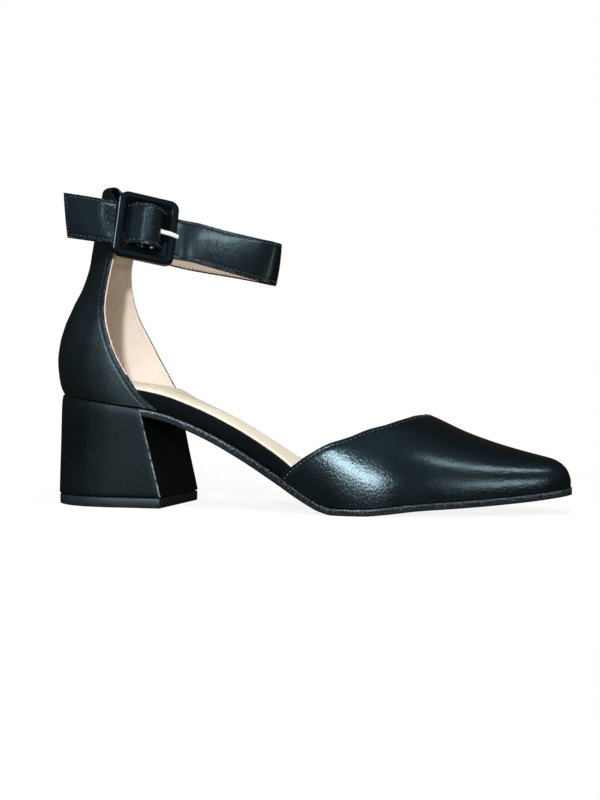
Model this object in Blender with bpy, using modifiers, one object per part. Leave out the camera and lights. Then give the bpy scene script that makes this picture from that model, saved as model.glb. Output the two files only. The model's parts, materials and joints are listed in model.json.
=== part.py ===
"""Closed-toe block-heel pump in two upper pieces, with a buckled ankle strap.

A right shoe. Tables and sizes are in millimetres from a line behind the heel and become
metres when a mesh is made. +X runs to the toe, +Y to the inner side of the foot, +Z up,
and the floor is z = 0.
"""
import math

import bmesh
import bpy
import numpy as np

MM = 0.001
GAP = 0.3
WELD = 0.02

# Middle of the whole shoe's box, which becomes the origin
MIDDLE_X = 128.71
MIDDLE_Y = 0.61

# Walls and layers
VAMP_WALL = 1.6
VAMP_FOOT = 0.2
COUNTER_WALL = 1.7
COUNTER_FOOT = 1.2
SEAT_EDGE = 24.0
SOLE_RIM = 2.1
SOLE_EDGE_ROUND = 1.0
SOLE_ROUND_FADE = 6.0
SOLE_BACK = 55.6
SOLE_BACK_SLANT = 2.5
SOCK_THICKNESS = 1.2
INSOLE_EDGE = 0.6
SOCK_EDGE = 0.8
INSOLE_TOE = 250.5
SOCK_TOE = 246.5

# Sections that the layers under the foot share, and the flat spot under the ball
SHARED_FROM = 26.0
SHARED_TO = 234.0
SHARED_STEP = 4.0
END_STEPS = 8
TIP_START = 0.06
END_CROWDING = 1.7
TOE_CROWDING = 1.8
VAMP_GRID = (33, 25)
COUNTER_PICKS = 25
COUNTER_ROWS = 21
FOLD_ROWS = 7
FLAP_ROWS = 6
FLAT_SPOT = (152.0, 165.0)

# Heel
LIFT_HEIGHT = 5.0
HEEL_CORNER = 0.8
HEEL_PARALLEL = 36.0
HEEL_PICKS = 41
HEEL_SHARES = (0.0, 0.08, 0.3, 0.5, 0.7, 0.92, 1.0)

# Strap and its tunnel at the back
STRAP_WIDTH = 20.8
STRAP_THICKNESS = 1.8
STRAP_PITCH = math.radians(14.0)
UPRIGHT = np.array([math.sin(STRAP_PITCH), 0.0, math.cos(STRAP_PITCH)])
STRAP_STEP = 3.0
STRAP_END_SLANT = 3.2
STRAP_END_RAMP = 14.0
TUNNEL_ROOM = 3.7
TUNNEL_LEAD = 3.0
TUNNEL_FROM = 76.0
TUNNEL_TOP = 101.8
FLAP_BEND = 73.0
FLAP_ROOM = 2.0
FLAP_END = 69.0
FLAP_CLEAR = 0.35
STRAP_RISE = 89.0

# Buckle: middle, turn towards the toe, lean of its top edge, frame and centre bar
BUCKLE_MIDDLE = np.array([58.3, -26.37, 133.4])
BUCKLE_TURN = math.radians(33.0)
BUCKLE_LEAN = -23.0
BUCKLE_PITCH = math.radians(10.3)
BUCKLE_LENGTH = 29.4
BUCKLE_HEIGHT = 33.8
BUCKLE_BAR = 3.8
BUCKLE_DEPTH = 3.4
BUCKLE_CORNER = 4.6
BAR_RADIUS = 1.1
BAR_DROP = 1.0
HOOK_RADIUS = BAR_RADIUS + GAP + STRAP_THICKNESS / 2
PRONG_WIDTH = 2.2
PRONG_DEPTH = 1.2
PRONG_CLEAR = 0.7
PRONG_CORNER = 0.3
SLOT_WIDTH = 3.2
SLOT_RADIUS = 3.4
ROUND_STEP = 30.0
HOOK_TURN = (120.0, -30.0)
RING_PICKS = 12
FRAME_SQUARE = 0.7
FRAME_TURNS = 6
TUNNEL_PICKS = 65
TUNNEL_EVERY = 5


def table(columns, *rows):
    """Columns by name from rows written one section at a time."""
    return dict(zip(columns.split(), np.array(rows, float).T))


# Plan of the last: half breadths to each side of the axis, and how far the sock flares past it
OUTLINE = table(
    "x axis lateral medial flare",
    (7.7, 0.0, 0.0, 0.0, 2.7),
    (10.7, 0.0, 10.0, 10.0, 1.5),
    (15.7, 0.0, 16.0, 16.0, 1.0),
    (22.7, 0.0, 21.0, 21.0, 0.8),
    (32.7, 0.0, 24.6, 24.6, 0.7),
    (43.0, 0.0, 25.6, 25.6, 0.6),
    (56.0, 0.0, 24.8, 24.6, 0.3),
    (70.0, 0.0, 22.6, 21.4, 0.0),
    (85.0, 0.0, 20.8, 17.8, 0.0),
    (100.0, 0.0, 20.9, 16.4, 0.0),
    (110.0, 0.1, 22.8, 17.4, 0.0),
    (120.0, 0.3, 26.0, 20.2, 0.0),
    (130.0, 0.5, 29.7, 24.8, 0.0),
    (140.0, 0.7, 33.1, 29.4, 0.0),
    (150.0, 0.9, 36.0, 33.4, 0.0),
    (160.0, 1.1, 37.5, 36.2, 0.0),
    (170.0, 1.3, 37.3, 37.3, 0.0),
    (185.0, 1.6, 34.6, 36.0, 0.0),
    (200.0, 1.9, 30.2, 32.2, 0.0),
    (215.0, 2.1, 24.6, 26.2, 0.0),
    (230.0, 2.3, 18.2, 19.2, 0.0),
    (240.0, 2.4, 13.4, 14.0, 0.0),
    (247.0, 2.5, 9.4, 9.7, 0.0),
    (251.0, 2.6, 6.1, 6.2, 0.0),
    (253.5, 2.6, 0.0, 0.0, 0.0),
)

# Height of the outer edge where insole meets sole or heel, thickness of insole and sole there,
# and how far the surface falls for each millimetre towards the inner side
PROFILE = table(
    "x seat insole sole roll",
    (0.0, 55.4, 8.2, 3.6, 0.000),
    (56.0, 47.7, 8.2, 3.6, 0.000),
    (67.0, 45.2, 8.1, 3.6, 0.052),
    (74.0, 42.7, 8.1, 3.6, 0.066),
    (83.0, 38.9, 8.3, 3.6, 0.070),
    (92.0, 34.6, 8.5, 3.6, 0.074),
    (101.0, 29.8, 8.7, 3.7, 0.083),
    (110.0, 24.8, 8.8, 3.7, 0.100),
    (119.0, 19.5, 8.7, 3.7, 0.112),
    (126.0, 15.3, 8.3, 3.6, 0.106),
    (133.0, 10.9, 7.4, 3.4, 0.080),
    (140.0, 7.1, 6.4, 3.2, 0.038),
    (146.0, 4.7, 5.6, 3.2, 0.009),
    (152.0, 3.5, 4.8, 3.2, 0.000),
    (165.0, 3.5, 3.6, 3.2, 0.000),
    (175.0, 4.3, 3.3, 3.2, 0.000),
    (190.0, 6.0, 3.1, 3.2, 0.000),
    (207.0, 7.1, 2.9, 3.2, 0.000),
    (224.0, 8.4, 2.8, 3.2, 0.000),
    (241.0, 10.1, 2.6, 3.2, 0.000),
    (257.0, 12.5, 2.6, 3.2, 0.000),
)

# Vamp: height of the last over the seat line, and how square its section is
CROWN = table(
    "x height square",
    (118.0, 68.0, 2.25),
    (126.0, 64.0, 2.25),
    (140.0, 58.5, 2.25),
    (155.0, 52.5, 2.25),
    (170.0, 46.2, 2.3),
    (188.0, 38.1, 2.3),
    (204.0, 29.3, 2.35),
    (222.0, 21.6, 2.45),
    (240.6, 14.8, 2.55),
    (246.0, 12.9, 2.55),
    (250.0, 10.0, 2.5),
    (252.3, 6.9, 2.4),
    (253.5, 3.2, 2.4),
)

# Vamp topline: where the wall starts, by the turn round the section from the outer edge
TOPLINE = table(
    "turn x",
    (0.0, 126.0),
    (9.0, 133.6),
    (17.0, 140.0),
    (28.0, 149.4),
    (36.0, 159.5),
    (43.0, 166.0),
    (52.0, 174.6),
    (69.0, 183.4),
    (90.0, 188.0),
    (111.0, 183.4),
    (128.0, 174.6),
    (137.0, 166.0),
    (144.0, 159.5),
    (152.0, 149.4),
    (163.0, 140.0),
    (171.0, 133.6),
    (180.0, 126.0),
)

# Counter by its rise over the seat: back, size of the heel curve, and its two front edges
COUNTER = table(
    "rise back scale lateral medial",
    (0.0, 7.5, 1.000, 64.0, 65.0),
    (4.0, 5.3, 1.015, 57.5, 58.8),
    (9.0, 4.2, 1.025, 52.5, 53.8),
    (16.0, 3.6, 1.030, 47.5, 49.0),
    (24.5, 4.6, 1.020, 42.3, 43.6),
    (34.6, 7.6, 0.985, 38.2, 38.1),
    (40.6, 10.3, 0.950, 36.4, 35.2),
    (46.0, 12.8, 0.910, 35.6, 33.6),
    (51.0, 15.5, 0.865, 35.5, 33.0),
    (57.7, 18.2, 0.810, 36.0, 32.7),
    (64.7, 20.4, 0.785, 37.2, 33.0),
    (72.0, 21.7, 0.780, 39.0, 34.0),
    (76.0, 22.4, 0.780, 40.4, 35.4),
    (90.0, 25.2, 0.780, 41.6, 38.0),
    (98.0, 26.6, 0.780, 40.4, 38.2),
    (103.7, 27.4, 0.780, 35.6, 35.2),
)

# Heel by its share of the height: back, breast at each side, and spread of the seat outline
HEEL = table(
    "share back lateral medial spread",
    (0.00, 2.4, 64.9, 66.0, 1.000),
    (0.08, 2.5, 64.1, 65.3, 1.000),
    (0.50, 3.2, 59.6, 61.4, 1.000),
    (0.92, 3.9, 55.2, 57.6, 1.010),
    (1.00, 4.5, 54.3, 56.8, 0.995),
)

# Top lift: how far each level lies inside the foot of the heel
LIFT = table(
    "height trim",
    (0.0, 0.70),
    (0.5, 0.25),
    (4.5, 0.25),
    (5.0, 0.60),
)

# Strap from the tunnel round the inner side and the front to the buckle, with the lean
# of its top edge in degrees, where less than zero leans in
STRAP = table(
    "x y z lean",
    (50.0, 22.8, 132.0, 0.0),
    (60.0, 25.6, 129.2, 0.0),
    (72.0, 27.0, 126.8, 0.0),
    (88.0, 27.0, 123.9, 0.0),
    (100.0, 25.8, 121.4, -1.0),
    (107.4, 22.8, 119.7, -3.0),
    (110.4, 18.0, 119.0, -6.0),
    (109.4, 12.0, 119.4, -11.0),
    (105.2, 6.4, 120.4, -17.0),
    (97.6, 1.0, 122.4, -22.0),
    (88.0, -4.4, 124.9, -25.0),
    (78.0, -10.0, 127.8, -26.0),
)

# Strap through the buckle, from the front bar over the centre bar to the back bar
BUCKLE_RUN = table(
    "along out up lean",
    (14.4, -4.7, 0.2, -25.0),
    (11.3, -4.0, 0.1, -24.5),
    (9.4, -2.6, 0.0, -24.0),
    (7.2, 0.3, 0.0, -23.0),
    (4.1, 2.75, 0.0, -23.0),
    (0.0, 3.5, 0.0, -23.0),
    (-4.1, 2.75, 0.0, -23.0),
    (-7.2, 0.5, 0.1, -23.0),
    (-9.4, -2.0, 0.3, -23.0),
    (-11.3, -2.95, 0.5, -23.0),
    (-14.4, -3.1, 0.9, -22.0),
)

# Free end of the strap behind the buckle
FREE_END = table(
    "x y z lean",
    (37.8, -34.8, 137.1, -15.0),
    (30.1, -36.2, 138.4, -11.0),
    (21.6, -36.6, 139.8, -8.0),
)

# Prong round the centre bar and over the front bar, in the buckle's plane
PRONG_RING = 1.95
PRONG_RING_FROM = math.radians(85.0)
PRONG_RING_TO = math.radians(350.0)
PRONG_SHANK = table(
    "along out up",
    (2.5, -0.2, 0.0),
    (3.6, 0.55, 0.0),
    (5.0, 1.0, -0.1),
    (8.3, 1.8, -0.7),
    (11.6, 2.65, -1.3),
    (15.3, 2.7, -2.0),
)

# Surfaces: colour, roughness and metal
SURFACES = {
    "leather": ((0.012, 0.016, 0.019), 0.32, 0.0),
    "heel leather": ((0.012, 0.016, 0.019), 0.34, 0.0),
    "lacquer": ((0.008, 0.009, 0.010), 0.16, 0.0),
    "steel": ((0.62, 0.64, 0.62), 0.22, 1.0),
    "wrap": ((0.010, 0.013, 0.015), 0.5, 0.0),
    "lining": ((0.72, 0.62, 0.50), 0.6, 0.0),
    "sole rubber": ((0.020, 0.024, 0.027), 0.38, 0.0),
    "lift rubber": ((0.016, 0.019, 0.021), 0.45, 0.0),
}


def flow(at, xs, ys):
    """Smooth curve through rows that never passes their highest or lowest value."""
    at = np.clip(np.asarray(at, float), xs[0], xs[-1])
    length = np.diff(xs)
    rate = np.diff(ys) / length
    before, after = rate[:-1], rate[1:]
    same_way = before * after > 0
    total = np.where(same_way, before + after, 1.0)
    slope = np.concatenate(([rate[0]], np.where(same_way, 2 * before * after / total, 0.0), [rate[-1]]))
    i = np.clip(np.searchsorted(xs, at, side="right") - 1, 0, len(length) - 1)
    t = (at - xs[i]) / length[i]
    start = ys[i] * (1 + 2 * t) + slope[i] * length[i] * t
    end = ys[i + 1] * (3 - 2 * t) - slope[i + 1] * length[i] * (1 - t)
    return start * (1 - t) ** 2 + end * t ** 2


def seat(x, y=-SEAT_EDGE):
    """Height of the seat, which rolls inwards at the arch."""
    roll = flow(x, PROFILE["x"], PROFILE["roll"])
    return flow(x, PROFILE["x"], PROFILE["seat"]) - roll * (y + SEAT_EDGE)


def sole_thickness(x):
    """Upright thickness of the sole, which is even across its slope."""
    slope = (seat(x + 1.0) - seat(x - 1.0)) / 2
    return flow(x, PROFILE["x"], PROFILE["sole"]) * np.hypot(1.0, slope)


def insole_thickness(x):
    """Thickness of the insole board."""
    return flow(x, PROFILE["x"], PROFILE["insole"])


def axis(x):
    """Sideways place of the last's axis."""
    return flow(x, OUTLINE["x"], OUTLINE["axis"])


def half_breadth(x, side, grow=0.0, flare=0.0):
    """Half breadth of the last to one side; squares are blended so that both ends are round."""
    xs = OUTLINE["x"].copy()
    tilt = np.hypot(1.0, np.gradient(OUTLINE[side], xs))
    breadth = np.maximum(OUTLINE[side] + grow * tilt + flare * OUTLINE["flare"], 0.0)
    xs[0] -= grow + flare * OUTLINE["flare"][0]
    xs[-1] += grow
    breadth[0] = breadth[-1] = 0.0
    return np.sqrt(np.maximum(flow(x, xs, breadth ** 2), 0.0))


def stations(back, toe):
    """Places along the foot that all layers share, closer together towards their own ends."""
    bend = 1 - np.cos(np.linspace(0.0, math.pi / 2, END_STEPS))
    shared = np.unique(np.concatenate((np.arange(SHARED_FROM, SHARED_TO, SHARED_STEP), FLAT_SPOT)))
    rear = back + (SHARED_FROM - SHARED_STEP / 2 - back) * bend
    front = toe - (toe - SHARED_TO) * bend[::-1]
    return np.concatenate((rear, shared, front))


def make_material(name, surface):
    """Plain surface for one sub-part."""
    colour, roughness, metallic = SURFACES[surface]
    material = bpy.data.materials.new(name)
    material.use_nodes = True
    shader = material.node_tree.nodes["Principled BSDF"]
    shader.inputs["Base Color"].default_value = (*colour, 1.0)
    shader.inputs["Roughness"].default_value = roughness
    shader.inputs["Metallic"].default_value = metallic
    return material


def add_object(name, bm, collection, parent=None, surface=None):
    """Object with its mesh, in metres about the origin."""
    mesh = bpy.data.meshes.new(name)
    bm.to_mesh(mesh)
    bm.free()
    piece = bpy.data.objects.new(name, mesh)
    collection.objects.link(piece)
    piece.parent = parent
    if surface:
        mesh.materials.append(make_material(name, surface))
    return piece


def sheet(points):
    """Grid bent through rows of points."""
    rows, columns = points.shape[:2]
    bm = bmesh.new()
    bmesh.ops.create_grid(bm, x_segments=columns - 1, y_segments=rows - 1, size=1.0)
    placed = (points - (MIDDLE_X, MIDDLE_Y, 0.0)) * MM
    for vert, place in zip(bm.verts, placed.reshape(-1, 3)):
        vert.co = place
    bmesh.ops.remove_doubles(bm, verts=bm.verts, dist=WELD * MM)
    return bm


def loft(rings, closed=False):
    """Solid through closed rings of points, capped unless its ends meet."""
    rings = np.concatenate((rings, rings[:, :1]), axis=1)
    if closed:
        rings = np.concatenate((rings, rings[:1]), axis=0)
    bm = sheet(rings)
    if not closed:
        bmesh.ops.holes_fill(bm, edges=[edge for edge in bm.edges if edge.is_boundary])
    bmesh.ops.recalc_face_normals(bm, faces=bm.faces)
    return bm


def thicken(piece, wall, offset):
    """Wall on an open sheet: offset 1 grows outwards, 0 to both sides."""
    solid = piece.modifiers.new("wall", "SOLIDIFY")
    solid.thickness = wall * MM
    solid.offset = offset
    solid.use_even_offset = True
    solid.use_rim = True


def combine(piece, other, operation):
    """Boolean with a tool object."""
    tool = piece.modifiers.new(other.name, "BOOLEAN")
    tool.operation = operation
    tool.object = other
    tool.solver = "EXACT"
    other.hide_render = True
    other.display_type = "WIRE"


def vamp_sheet():
    """Inside of the front upper, from the topline to the toe."""
    turn, along = np.meshgrid(np.linspace(0.0, 180.0, VAMP_GRID[0]), np.linspace(0.0, 1.0, VAMP_GRID[1]))
    start = flow(turn, TOPLINE["turn"], TOPLINE["x"])
    toe = OUTLINE["x"][-1]
    x = toe - (toe - start) * (1 - along) ** TOE_CROWDING
    angle = np.radians(turn)
    power = 2.0 / flow(x, CROWN["x"], CROWN["square"])
    lateral = turn < 90.0
    breadth = np.where(lateral, -half_breadth(x, "lateral"), half_breadth(x, "medial"))
    y = axis(x) + breadth * np.abs(np.cos(angle)) ** power
    z = seat(x, y) + VAMP_FOOT + flow(x, CROWN["x"], CROWN["height"]) * np.abs(np.sin(angle)) ** power
    return np.stack((x, y, z), axis=-1)[:, ::-1]


def counter_row(rise, inset, reach):
    """One row round the back upper; reach runs from -1 at the outer edge to 1 at the inner."""
    back = flow(rise, COUNTER["rise"], COUNTER["back"])
    scale = flow(rise, COUNTER["rise"], COUNTER["scale"])
    lateral = flow(rise, COUNTER["rise"], COUNTER["lateral"])
    medial = flow(rise, COUNTER["rise"], COUNTER["medial"])
    depth = np.where(reach < 0, lateral - back, medial - back) * np.abs(reach) ** END_CROWDING
    heel_back = OUTLINE["x"][0]
    half = np.where(
        reach < 0,
        half_breadth(heel_back + depth / scale, "lateral"),
        half_breadth(heel_back + depth / scale, "medial"),
    )
    x = back + depth
    y = np.sign(reach) * scale * half
    tangent = np.stack((np.gradient(x), np.gradient(y)), axis=-1)
    tangent /= np.linalg.norm(tangent, axis=-1, keepdims=True)
    x, y = x + inset * tangent[:, 1], y - inset * tangent[:, 0]
    return np.stack((x, y, seat(x, y) + rise), axis=-1)


def counter_sheet():
    """Inside of the back upper up to the tunnel, over its fold and down the flap within."""
    reach = np.linspace(-1.0, 1.0, COUNTER_PICKS)
    rows = [(rise, 0.0) for rise in np.linspace(COUNTER_FOOT, TUNNEL_TOP, COUNTER_ROWS)]
    radius = TUNNEL_ROOM / 2
    for turn in np.linspace(0.0, math.pi, FOLD_ROWS)[1:]:
        rows.append((TUNNEL_TOP + radius * math.sin(turn), radius * (1 - math.cos(turn))))
    rows += [(rise, TUNNEL_ROOM) for rise in np.linspace(TUNNEL_TOP, TUNNEL_FROM, FLAP_ROWS)[1:]]
    rows += [(FLAP_BEND, FLAP_ROOM), (FLAP_END, FLAP_CLEAR)]
    return np.array([counter_row(rise, inset, reach) for rise, inset in rows])[:, ::-1]


def layer_rings(xs, lateral, medial, bottom, top):
    """Sections of a flat layer: four corners and the middle of each face."""
    rings = []
    for x, left, right, low, high in zip(xs, lateral, medial, bottom, top):
        across = axis(x) + np.array((-left, 0.0, right))
        lower = [(x, y, seat(x, y) + low) for y in across]
        upper = [(x, y, seat(x, y) + high) for y in across[::-1]]
        rings.append(lower + upper)
    return np.array(rings)


def insole_rings():
    """Insole board inside the walls."""
    xs = stations(OUTLINE["x"][0] + INSOLE_EDGE + TIP_START, INSOLE_TOE)
    sides = [half_breadth(xs, side, -INSOLE_EDGE) for side in ("lateral", "medial")]
    return layer_rings(xs, *sides, 0.0 * xs, insole_thickness(xs))


def sock_rings():
    """Sock lining on the board, flared into the heel cup."""
    xs = stations(OUTLINE["x"][0] - OUTLINE["flare"][0] + SOCK_EDGE + TIP_START, SOCK_TOE)
    sides = [half_breadth(xs, side, -SOCK_EDGE, 1.0) for side in ("lateral", "medial")]
    bottom = insole_thickness(xs) + GAP
    return layer_rings(xs, *sides, bottom, bottom + SOCK_THICKNESS)


def outsole_rings():
    """Sole from the heel breast to the toe with its lower edge rounded off."""
    xs = stations(OUTLINE["x"][0], OUTLINE["x"][-1] + SOLE_RIM - TIP_START)
    xs = np.concatenate(([SOLE_BACK], xs[xs > SOLE_BACK + SOLE_BACK_SLANT + SHARED_STEP / 2]))
    rings = []
    for x in xs:
        left, right = (half_breadth(x, side, SOLE_RIM) for side in ("lateral", "medial"))
        low = -GAP - sole_thickness(x)
        cut = SOLE_EDGE_ROUND * min(1.0, left / SOLE_ROUND_FADE)
        plan = np.array((
            (-left, -GAP), (-left, low + SOLE_EDGE_ROUND), (cut - left, low), (0.0, low),
            (right - cut, low), (right, low + SOLE_EDGE_ROUND), (right, -GAP), (0.0, -GAP),
        ))
        y = axis(x) + plan[:, 0]
        along = x + (x == SOLE_BACK) * SOLE_BACK_SLANT * (y + SEAT_EDGE) / (2 * SEAT_EDGE)
        rings.append(np.column_stack((along, y, seat(along, y) + plan[:, 1])))
    return np.array(rings)


def heel_ring(share, low, trim=0.0):
    """Plan of the heel at a share of its height, from the breast round the back."""
    back = flow(share, HEEL["share"], HEEL["back"]) + trim
    breast = [flow(share, HEEL["share"], HEEL[side]) - trim for side in ("lateral", "medial")]
    spread = flow(share, HEEL["share"], HEEL["spread"])
    reach = np.linspace(-1.0, 1.0, HEEL_PICKS)
    front = np.where(reach < 0, breast[0], breast[1]) - HEEL_CORNER
    depth = (front - back) * np.abs(reach) ** END_CROWDING
    parallel = np.minimum(depth, HEEL_PARALLEL)
    half = spread * half_breadth(OUTLINE["x"][0] + parallel, "lateral") - trim * (np.abs(reach) > 0)
    side = np.stack((back + depth, np.sign(reach) * half), axis=-1)
    first = (breast[0], side[0, 1] + HEEL_CORNER)
    last = (breast[1], side[-1, 1] - HEEL_CORNER)
    plan = np.vstack((first, side, last))
    height = low + share * (seat(plan[:, 0]) - GAP - low)
    return np.column_stack((plan, height))


def heel_rings():
    """Block heel from the top lift to the seat."""
    low = LIFT_HEIGHT + GAP
    return np.array([heel_ring(share, low) for share in HEEL_SHARES])


def lift_rings():
    """Top lift, a flat slab a little inside the heel."""
    rings = []
    for height, trim in zip(LIFT["height"], LIFT["trim"]):
        ring = heel_ring(0.0, height, trim)
        ring[:, 2] = height
        rings.append(ring)
    return np.array(rings)


def upright_of(ways, lean):
    """Up the strap's width for ways along it, by the lean of its top edge outwards in degrees."""
    ways = ways / np.linalg.norm(ways, axis=-1, keepdims=True)
    outward = np.cross((0.0, 0.0, 1.0), ways)
    outward /= np.linalg.norm(outward, axis=-1, keepdims=True)
    lean = np.radians(lean)[..., None]
    up = np.cos(lean) * UPRIGHT + np.sin(lean) * outward
    up -= np.sum(up * ways, axis=-1, keepdims=True) * ways
    return up / np.linalg.norm(up, axis=-1, keepdims=True)


def buckle_axes():
    """Directions in the buckle: along the strap to the front, up its width, and outwards."""
    flat = math.cos(BUCKLE_PITCH)
    along = np.array([flat * math.cos(BUCKLE_TURN), flat * math.sin(BUCKLE_TURN), -math.sin(BUCKLE_PITCH)])
    up = upright_of(-along, np.array(BUCKLE_LEAN))
    return along, up, np.cross(along, up)


def buckle_points(along, out, up=0.0):
    """Places given in the buckle's own directions."""
    directions = buckle_axes()
    parts = np.broadcast_arrays(along, up, out)
    return BUCKLE_MIDDLE + sum(part[..., None] * axis_ for part, axis_ in zip(parts, directions))


def smooth_route(points, step):
    """Curve through points, with one stretch or more between each pair."""
    knots = np.concatenate(([0.0], np.cumsum(np.linalg.norm(np.diff(points[:, :3], axis=0), axis=1))))
    slope = np.gradient(points, knots, axis=0)
    route = []
    for i, length in enumerate(np.diff(knots)):
        for t in np.linspace(0.0, 1.0, max(1, round(length / step)), endpoint=False):
            start = points[i] * (1 + 2 * t) + slope[i] * length * t
            end = points[i + 1] * (3 - 2 * t) - slope[i + 1] * length * (1 - t)
            route.append(start * (1 - t) ** 2 + end * t ** 2)
    return np.array(route + [points[-1]])


def strap_route():
    """Middle of the strap and its upright, from the fold on the centre bar to the free end."""
    along, up, out = buckle_axes()
    turn = np.radians(np.arange(HOOK_TURN[0], HOOK_TURN[1] - 1.0, -ROUND_STEP))
    hook = buckle_points(HOOK_RADIUS * np.cos(turn), HOOK_RADIUS * np.sin(turn) - BAR_DROP)
    run = buckle_points(BUCKLE_RUN["along"], BUCKLE_RUN["out"], BUCKLE_RUN["up"])
    tunnel = counter_row(STRAP_RISE, TUNNEL_ROOM / 2, np.linspace(-1.0, 1.0, TUNNEL_PICKS))[::TUNNEL_EVERY]
    ends = np.stack((tunnel[0] - tunnel[1], tunnel[-1] - tunnel[-2]))
    ends *= TUNNEL_LEAD / np.linalg.norm(ends, axis=1, keepdims=True)
    tunnel = np.vstack((tunnel[0] + ends[0], tunnel, tunnel[-1] + ends[1]))
    nearest = np.argmin(tunnel[:, 0])
    tunnel[:, 2] = tunnel[nearest, 2] - math.tan(STRAP_PITCH) * (tunnel[:, 0] - tunnel[nearest, 0])
    strap, free = (np.column_stack([rows[key] for key in "xyz"]) for rows in (STRAP, FREE_END))
    parts = (
        np.column_stack((hook, np.tile(up, (len(hook), 1)))),
        np.column_stack((tunnel, np.tile(UPRIGHT, (len(tunnel), 1)))),
        np.column_stack((strap, upright_of(np.gradient(strap, axis=0), STRAP["lean"]))),
        np.column_stack((run, upright_of(np.tile(-along, (len(run), 1)), BUCKLE_RUN["lean"]))),
        np.column_stack((free, upright_of(np.gradient(free, axis=0), FREE_END["lean"]))),
    )
    return smooth_route(np.vstack(parts), STRAP_STEP)


def strap_sheet():
    """Flat band along the route with a slanted free end."""
    route = strap_route()
    middle, across = route[:, :3], route[:, 3:]
    tangent = np.gradient(middle, axis=0)
    tangent /= np.linalg.norm(tangent, axis=1, keepdims=True)
    across = across - np.sum(across * tangent, axis=1, keepdims=True) * tangent
    across /= np.linalg.norm(across, axis=1, keepdims=True)
    to_end = np.linalg.norm(middle - middle[-1], axis=1)
    ramp = np.clip(1 - to_end / STRAP_END_RAMP, 0.0, 1.0)
    ramp[: len(ramp) // 2] = 0.0
    slant = STRAP_END_SLANT * ramp[:, None] * tangent
    half = STRAP_WIDTH / 2
    return np.stack((middle - half * across - slant, middle + half * across + slant), axis=1)


def frame_rings():
    """Frame: a rounded section carried round a rounded rectangle."""
    corner = BUCKLE_CORNER - BUCKLE_BAR / 2
    half_length, half_height = ((size - BUCKLE_BAR) / 2 - corner for size in (BUCKLE_LENGTH, BUCKLE_HEIGHT))
    section = np.radians(np.arange(0.0, 360.0, ROUND_STEP))
    width = BUCKLE_BAR / 2 * np.sign(np.cos(section)) * np.abs(np.cos(section)) ** FRAME_SQUARE
    depth = BUCKLE_DEPTH / 2 * np.sign(np.sin(section)) * np.abs(np.sin(section)) ** FRAME_SQUARE
    rings = []
    for quarter in range(4):
        for turn in np.linspace(0.0, 90.0, FRAME_TURNS):
            angle = math.radians(turn + 90.0 * quarter)
            front = 1.0 if quarter in (0, 3) else -1.0
            top = 1.0 if quarter in (0, 1) else -1.0
            along = front * half_length + (corner + width) * math.cos(angle)
            up = top * half_height + (corner + width) * math.sin(angle)
            rings.append(buckle_points(along, depth, up))
    return np.array(rings)


def bar_rings(radius, half_length):
    """Round bar on the buckle's centre line."""
    turn = np.radians(np.arange(0.0, 360.0, ROUND_STEP))
    along, out = radius * np.cos(turn), radius * np.sin(turn) - BAR_DROP
    return np.array([buckle_points(along, out, up) for up in (-half_length, half_length)])


def prong_rings(clearance):
    """Flat prong from its ring on the bar to its tip, grown by a clearance."""
    turn = np.linspace(PRONG_RING_FROM, PRONG_RING_TO, RING_PICKS)
    ring = np.column_stack((PRONG_RING * np.cos(turn), PRONG_RING * np.sin(turn) - BAR_DROP, 0 * turn))
    shank = np.column_stack(list(PRONG_SHANK.values()))
    route = smooth_route(np.vstack((ring, shank)), STRAP_STEP)
    tangent = np.gradient(route, axis=0)
    tangent /= np.linalg.norm(tangent, axis=1, keepdims=True)
    normal = np.column_stack((-tangent[:, 1], tangent[:, 0]))
    half_width = (PRONG_WIDTH + clearance) / 2
    half_depth = (PRONG_DEPTH + clearance) / 2
    soft = PRONG_CORNER
    corners = ((-1, soft), (-1, -soft), (-soft, -1), (soft, -1), (1, -soft), (1, soft), (soft, 1), (-soft, 1))
    rings = []
    for place, side in zip(route, normal):
        ring = []
        for across, through in corners:
            along, out = place[:2] + side * half_depth * through
            ring.append(buckle_points(along, out, half_width * across + place[2]))
        rings.append(ring)
    return np.array(rings)


def main():
    """Build the shoe."""
    for old in list(bpy.data.objects):
        bpy.data.objects.remove(old, do_unlink=True)
    scene = bpy.context.scene.collection
    shoe = bpy.data.collections.new("heeled shoe")
    tools = bpy.data.collections.new("cutters")
    scene.children.link(shoe)
    scene.children.link(tools)
    root = bpy.data.objects.new("heeled_shoe", None)
    shoe.objects.link(root)

    vamp = add_object("vamp", sheet(vamp_sheet()), shoe, root, "leather")
    thicken(vamp, VAMP_WALL, 1.0)
    counter = add_object("counter", sheet(counter_sheet()), shoe, root, "leather")
    thicken(counter, COUNTER_WALL, 1.0)
    strap = add_object("ankle_strap", sheet(strap_sheet()), shoe, root, "leather")
    thicken(strap, STRAP_THICKNESS, 0.0)
    slot = add_object("strap_slot", loft(bar_rings(SLOT_RADIUS, SLOT_WIDTH / 2)), tools)
    combine(strap, slot, "DIFFERENCE")
    hole = add_object("prong_hole", loft(prong_rings(PRONG_CLEAR)), tools)
    combine(strap, hole, "DIFFERENCE")

    frame = add_object("buckle_frame", loft(frame_rings(), closed=True), shoe, root, "lacquer")
    bar = add_object("buckle_bar", loft(bar_rings(BAR_RADIUS, (BUCKLE_HEIGHT - BUCKLE_BAR) / 2)), tools)
    combine(frame, bar, "UNION")
    add_object("buckle_prong", loft(prong_rings(0.0)), shoe, root, "steel")

    add_object("insole", loft(insole_rings()), shoe, root, "wrap")
    add_object("sock", loft(sock_rings()), shoe, root, "lining")
    add_object("outsole", loft(outsole_rings()), shoe, root, "sole rubber")
    add_object("heel", loft(heel_rings()), shoe, root, "heel leather")
    add_object("top_lift", loft(lift_rings()), shoe, root, "lift rubber")


main()
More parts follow.
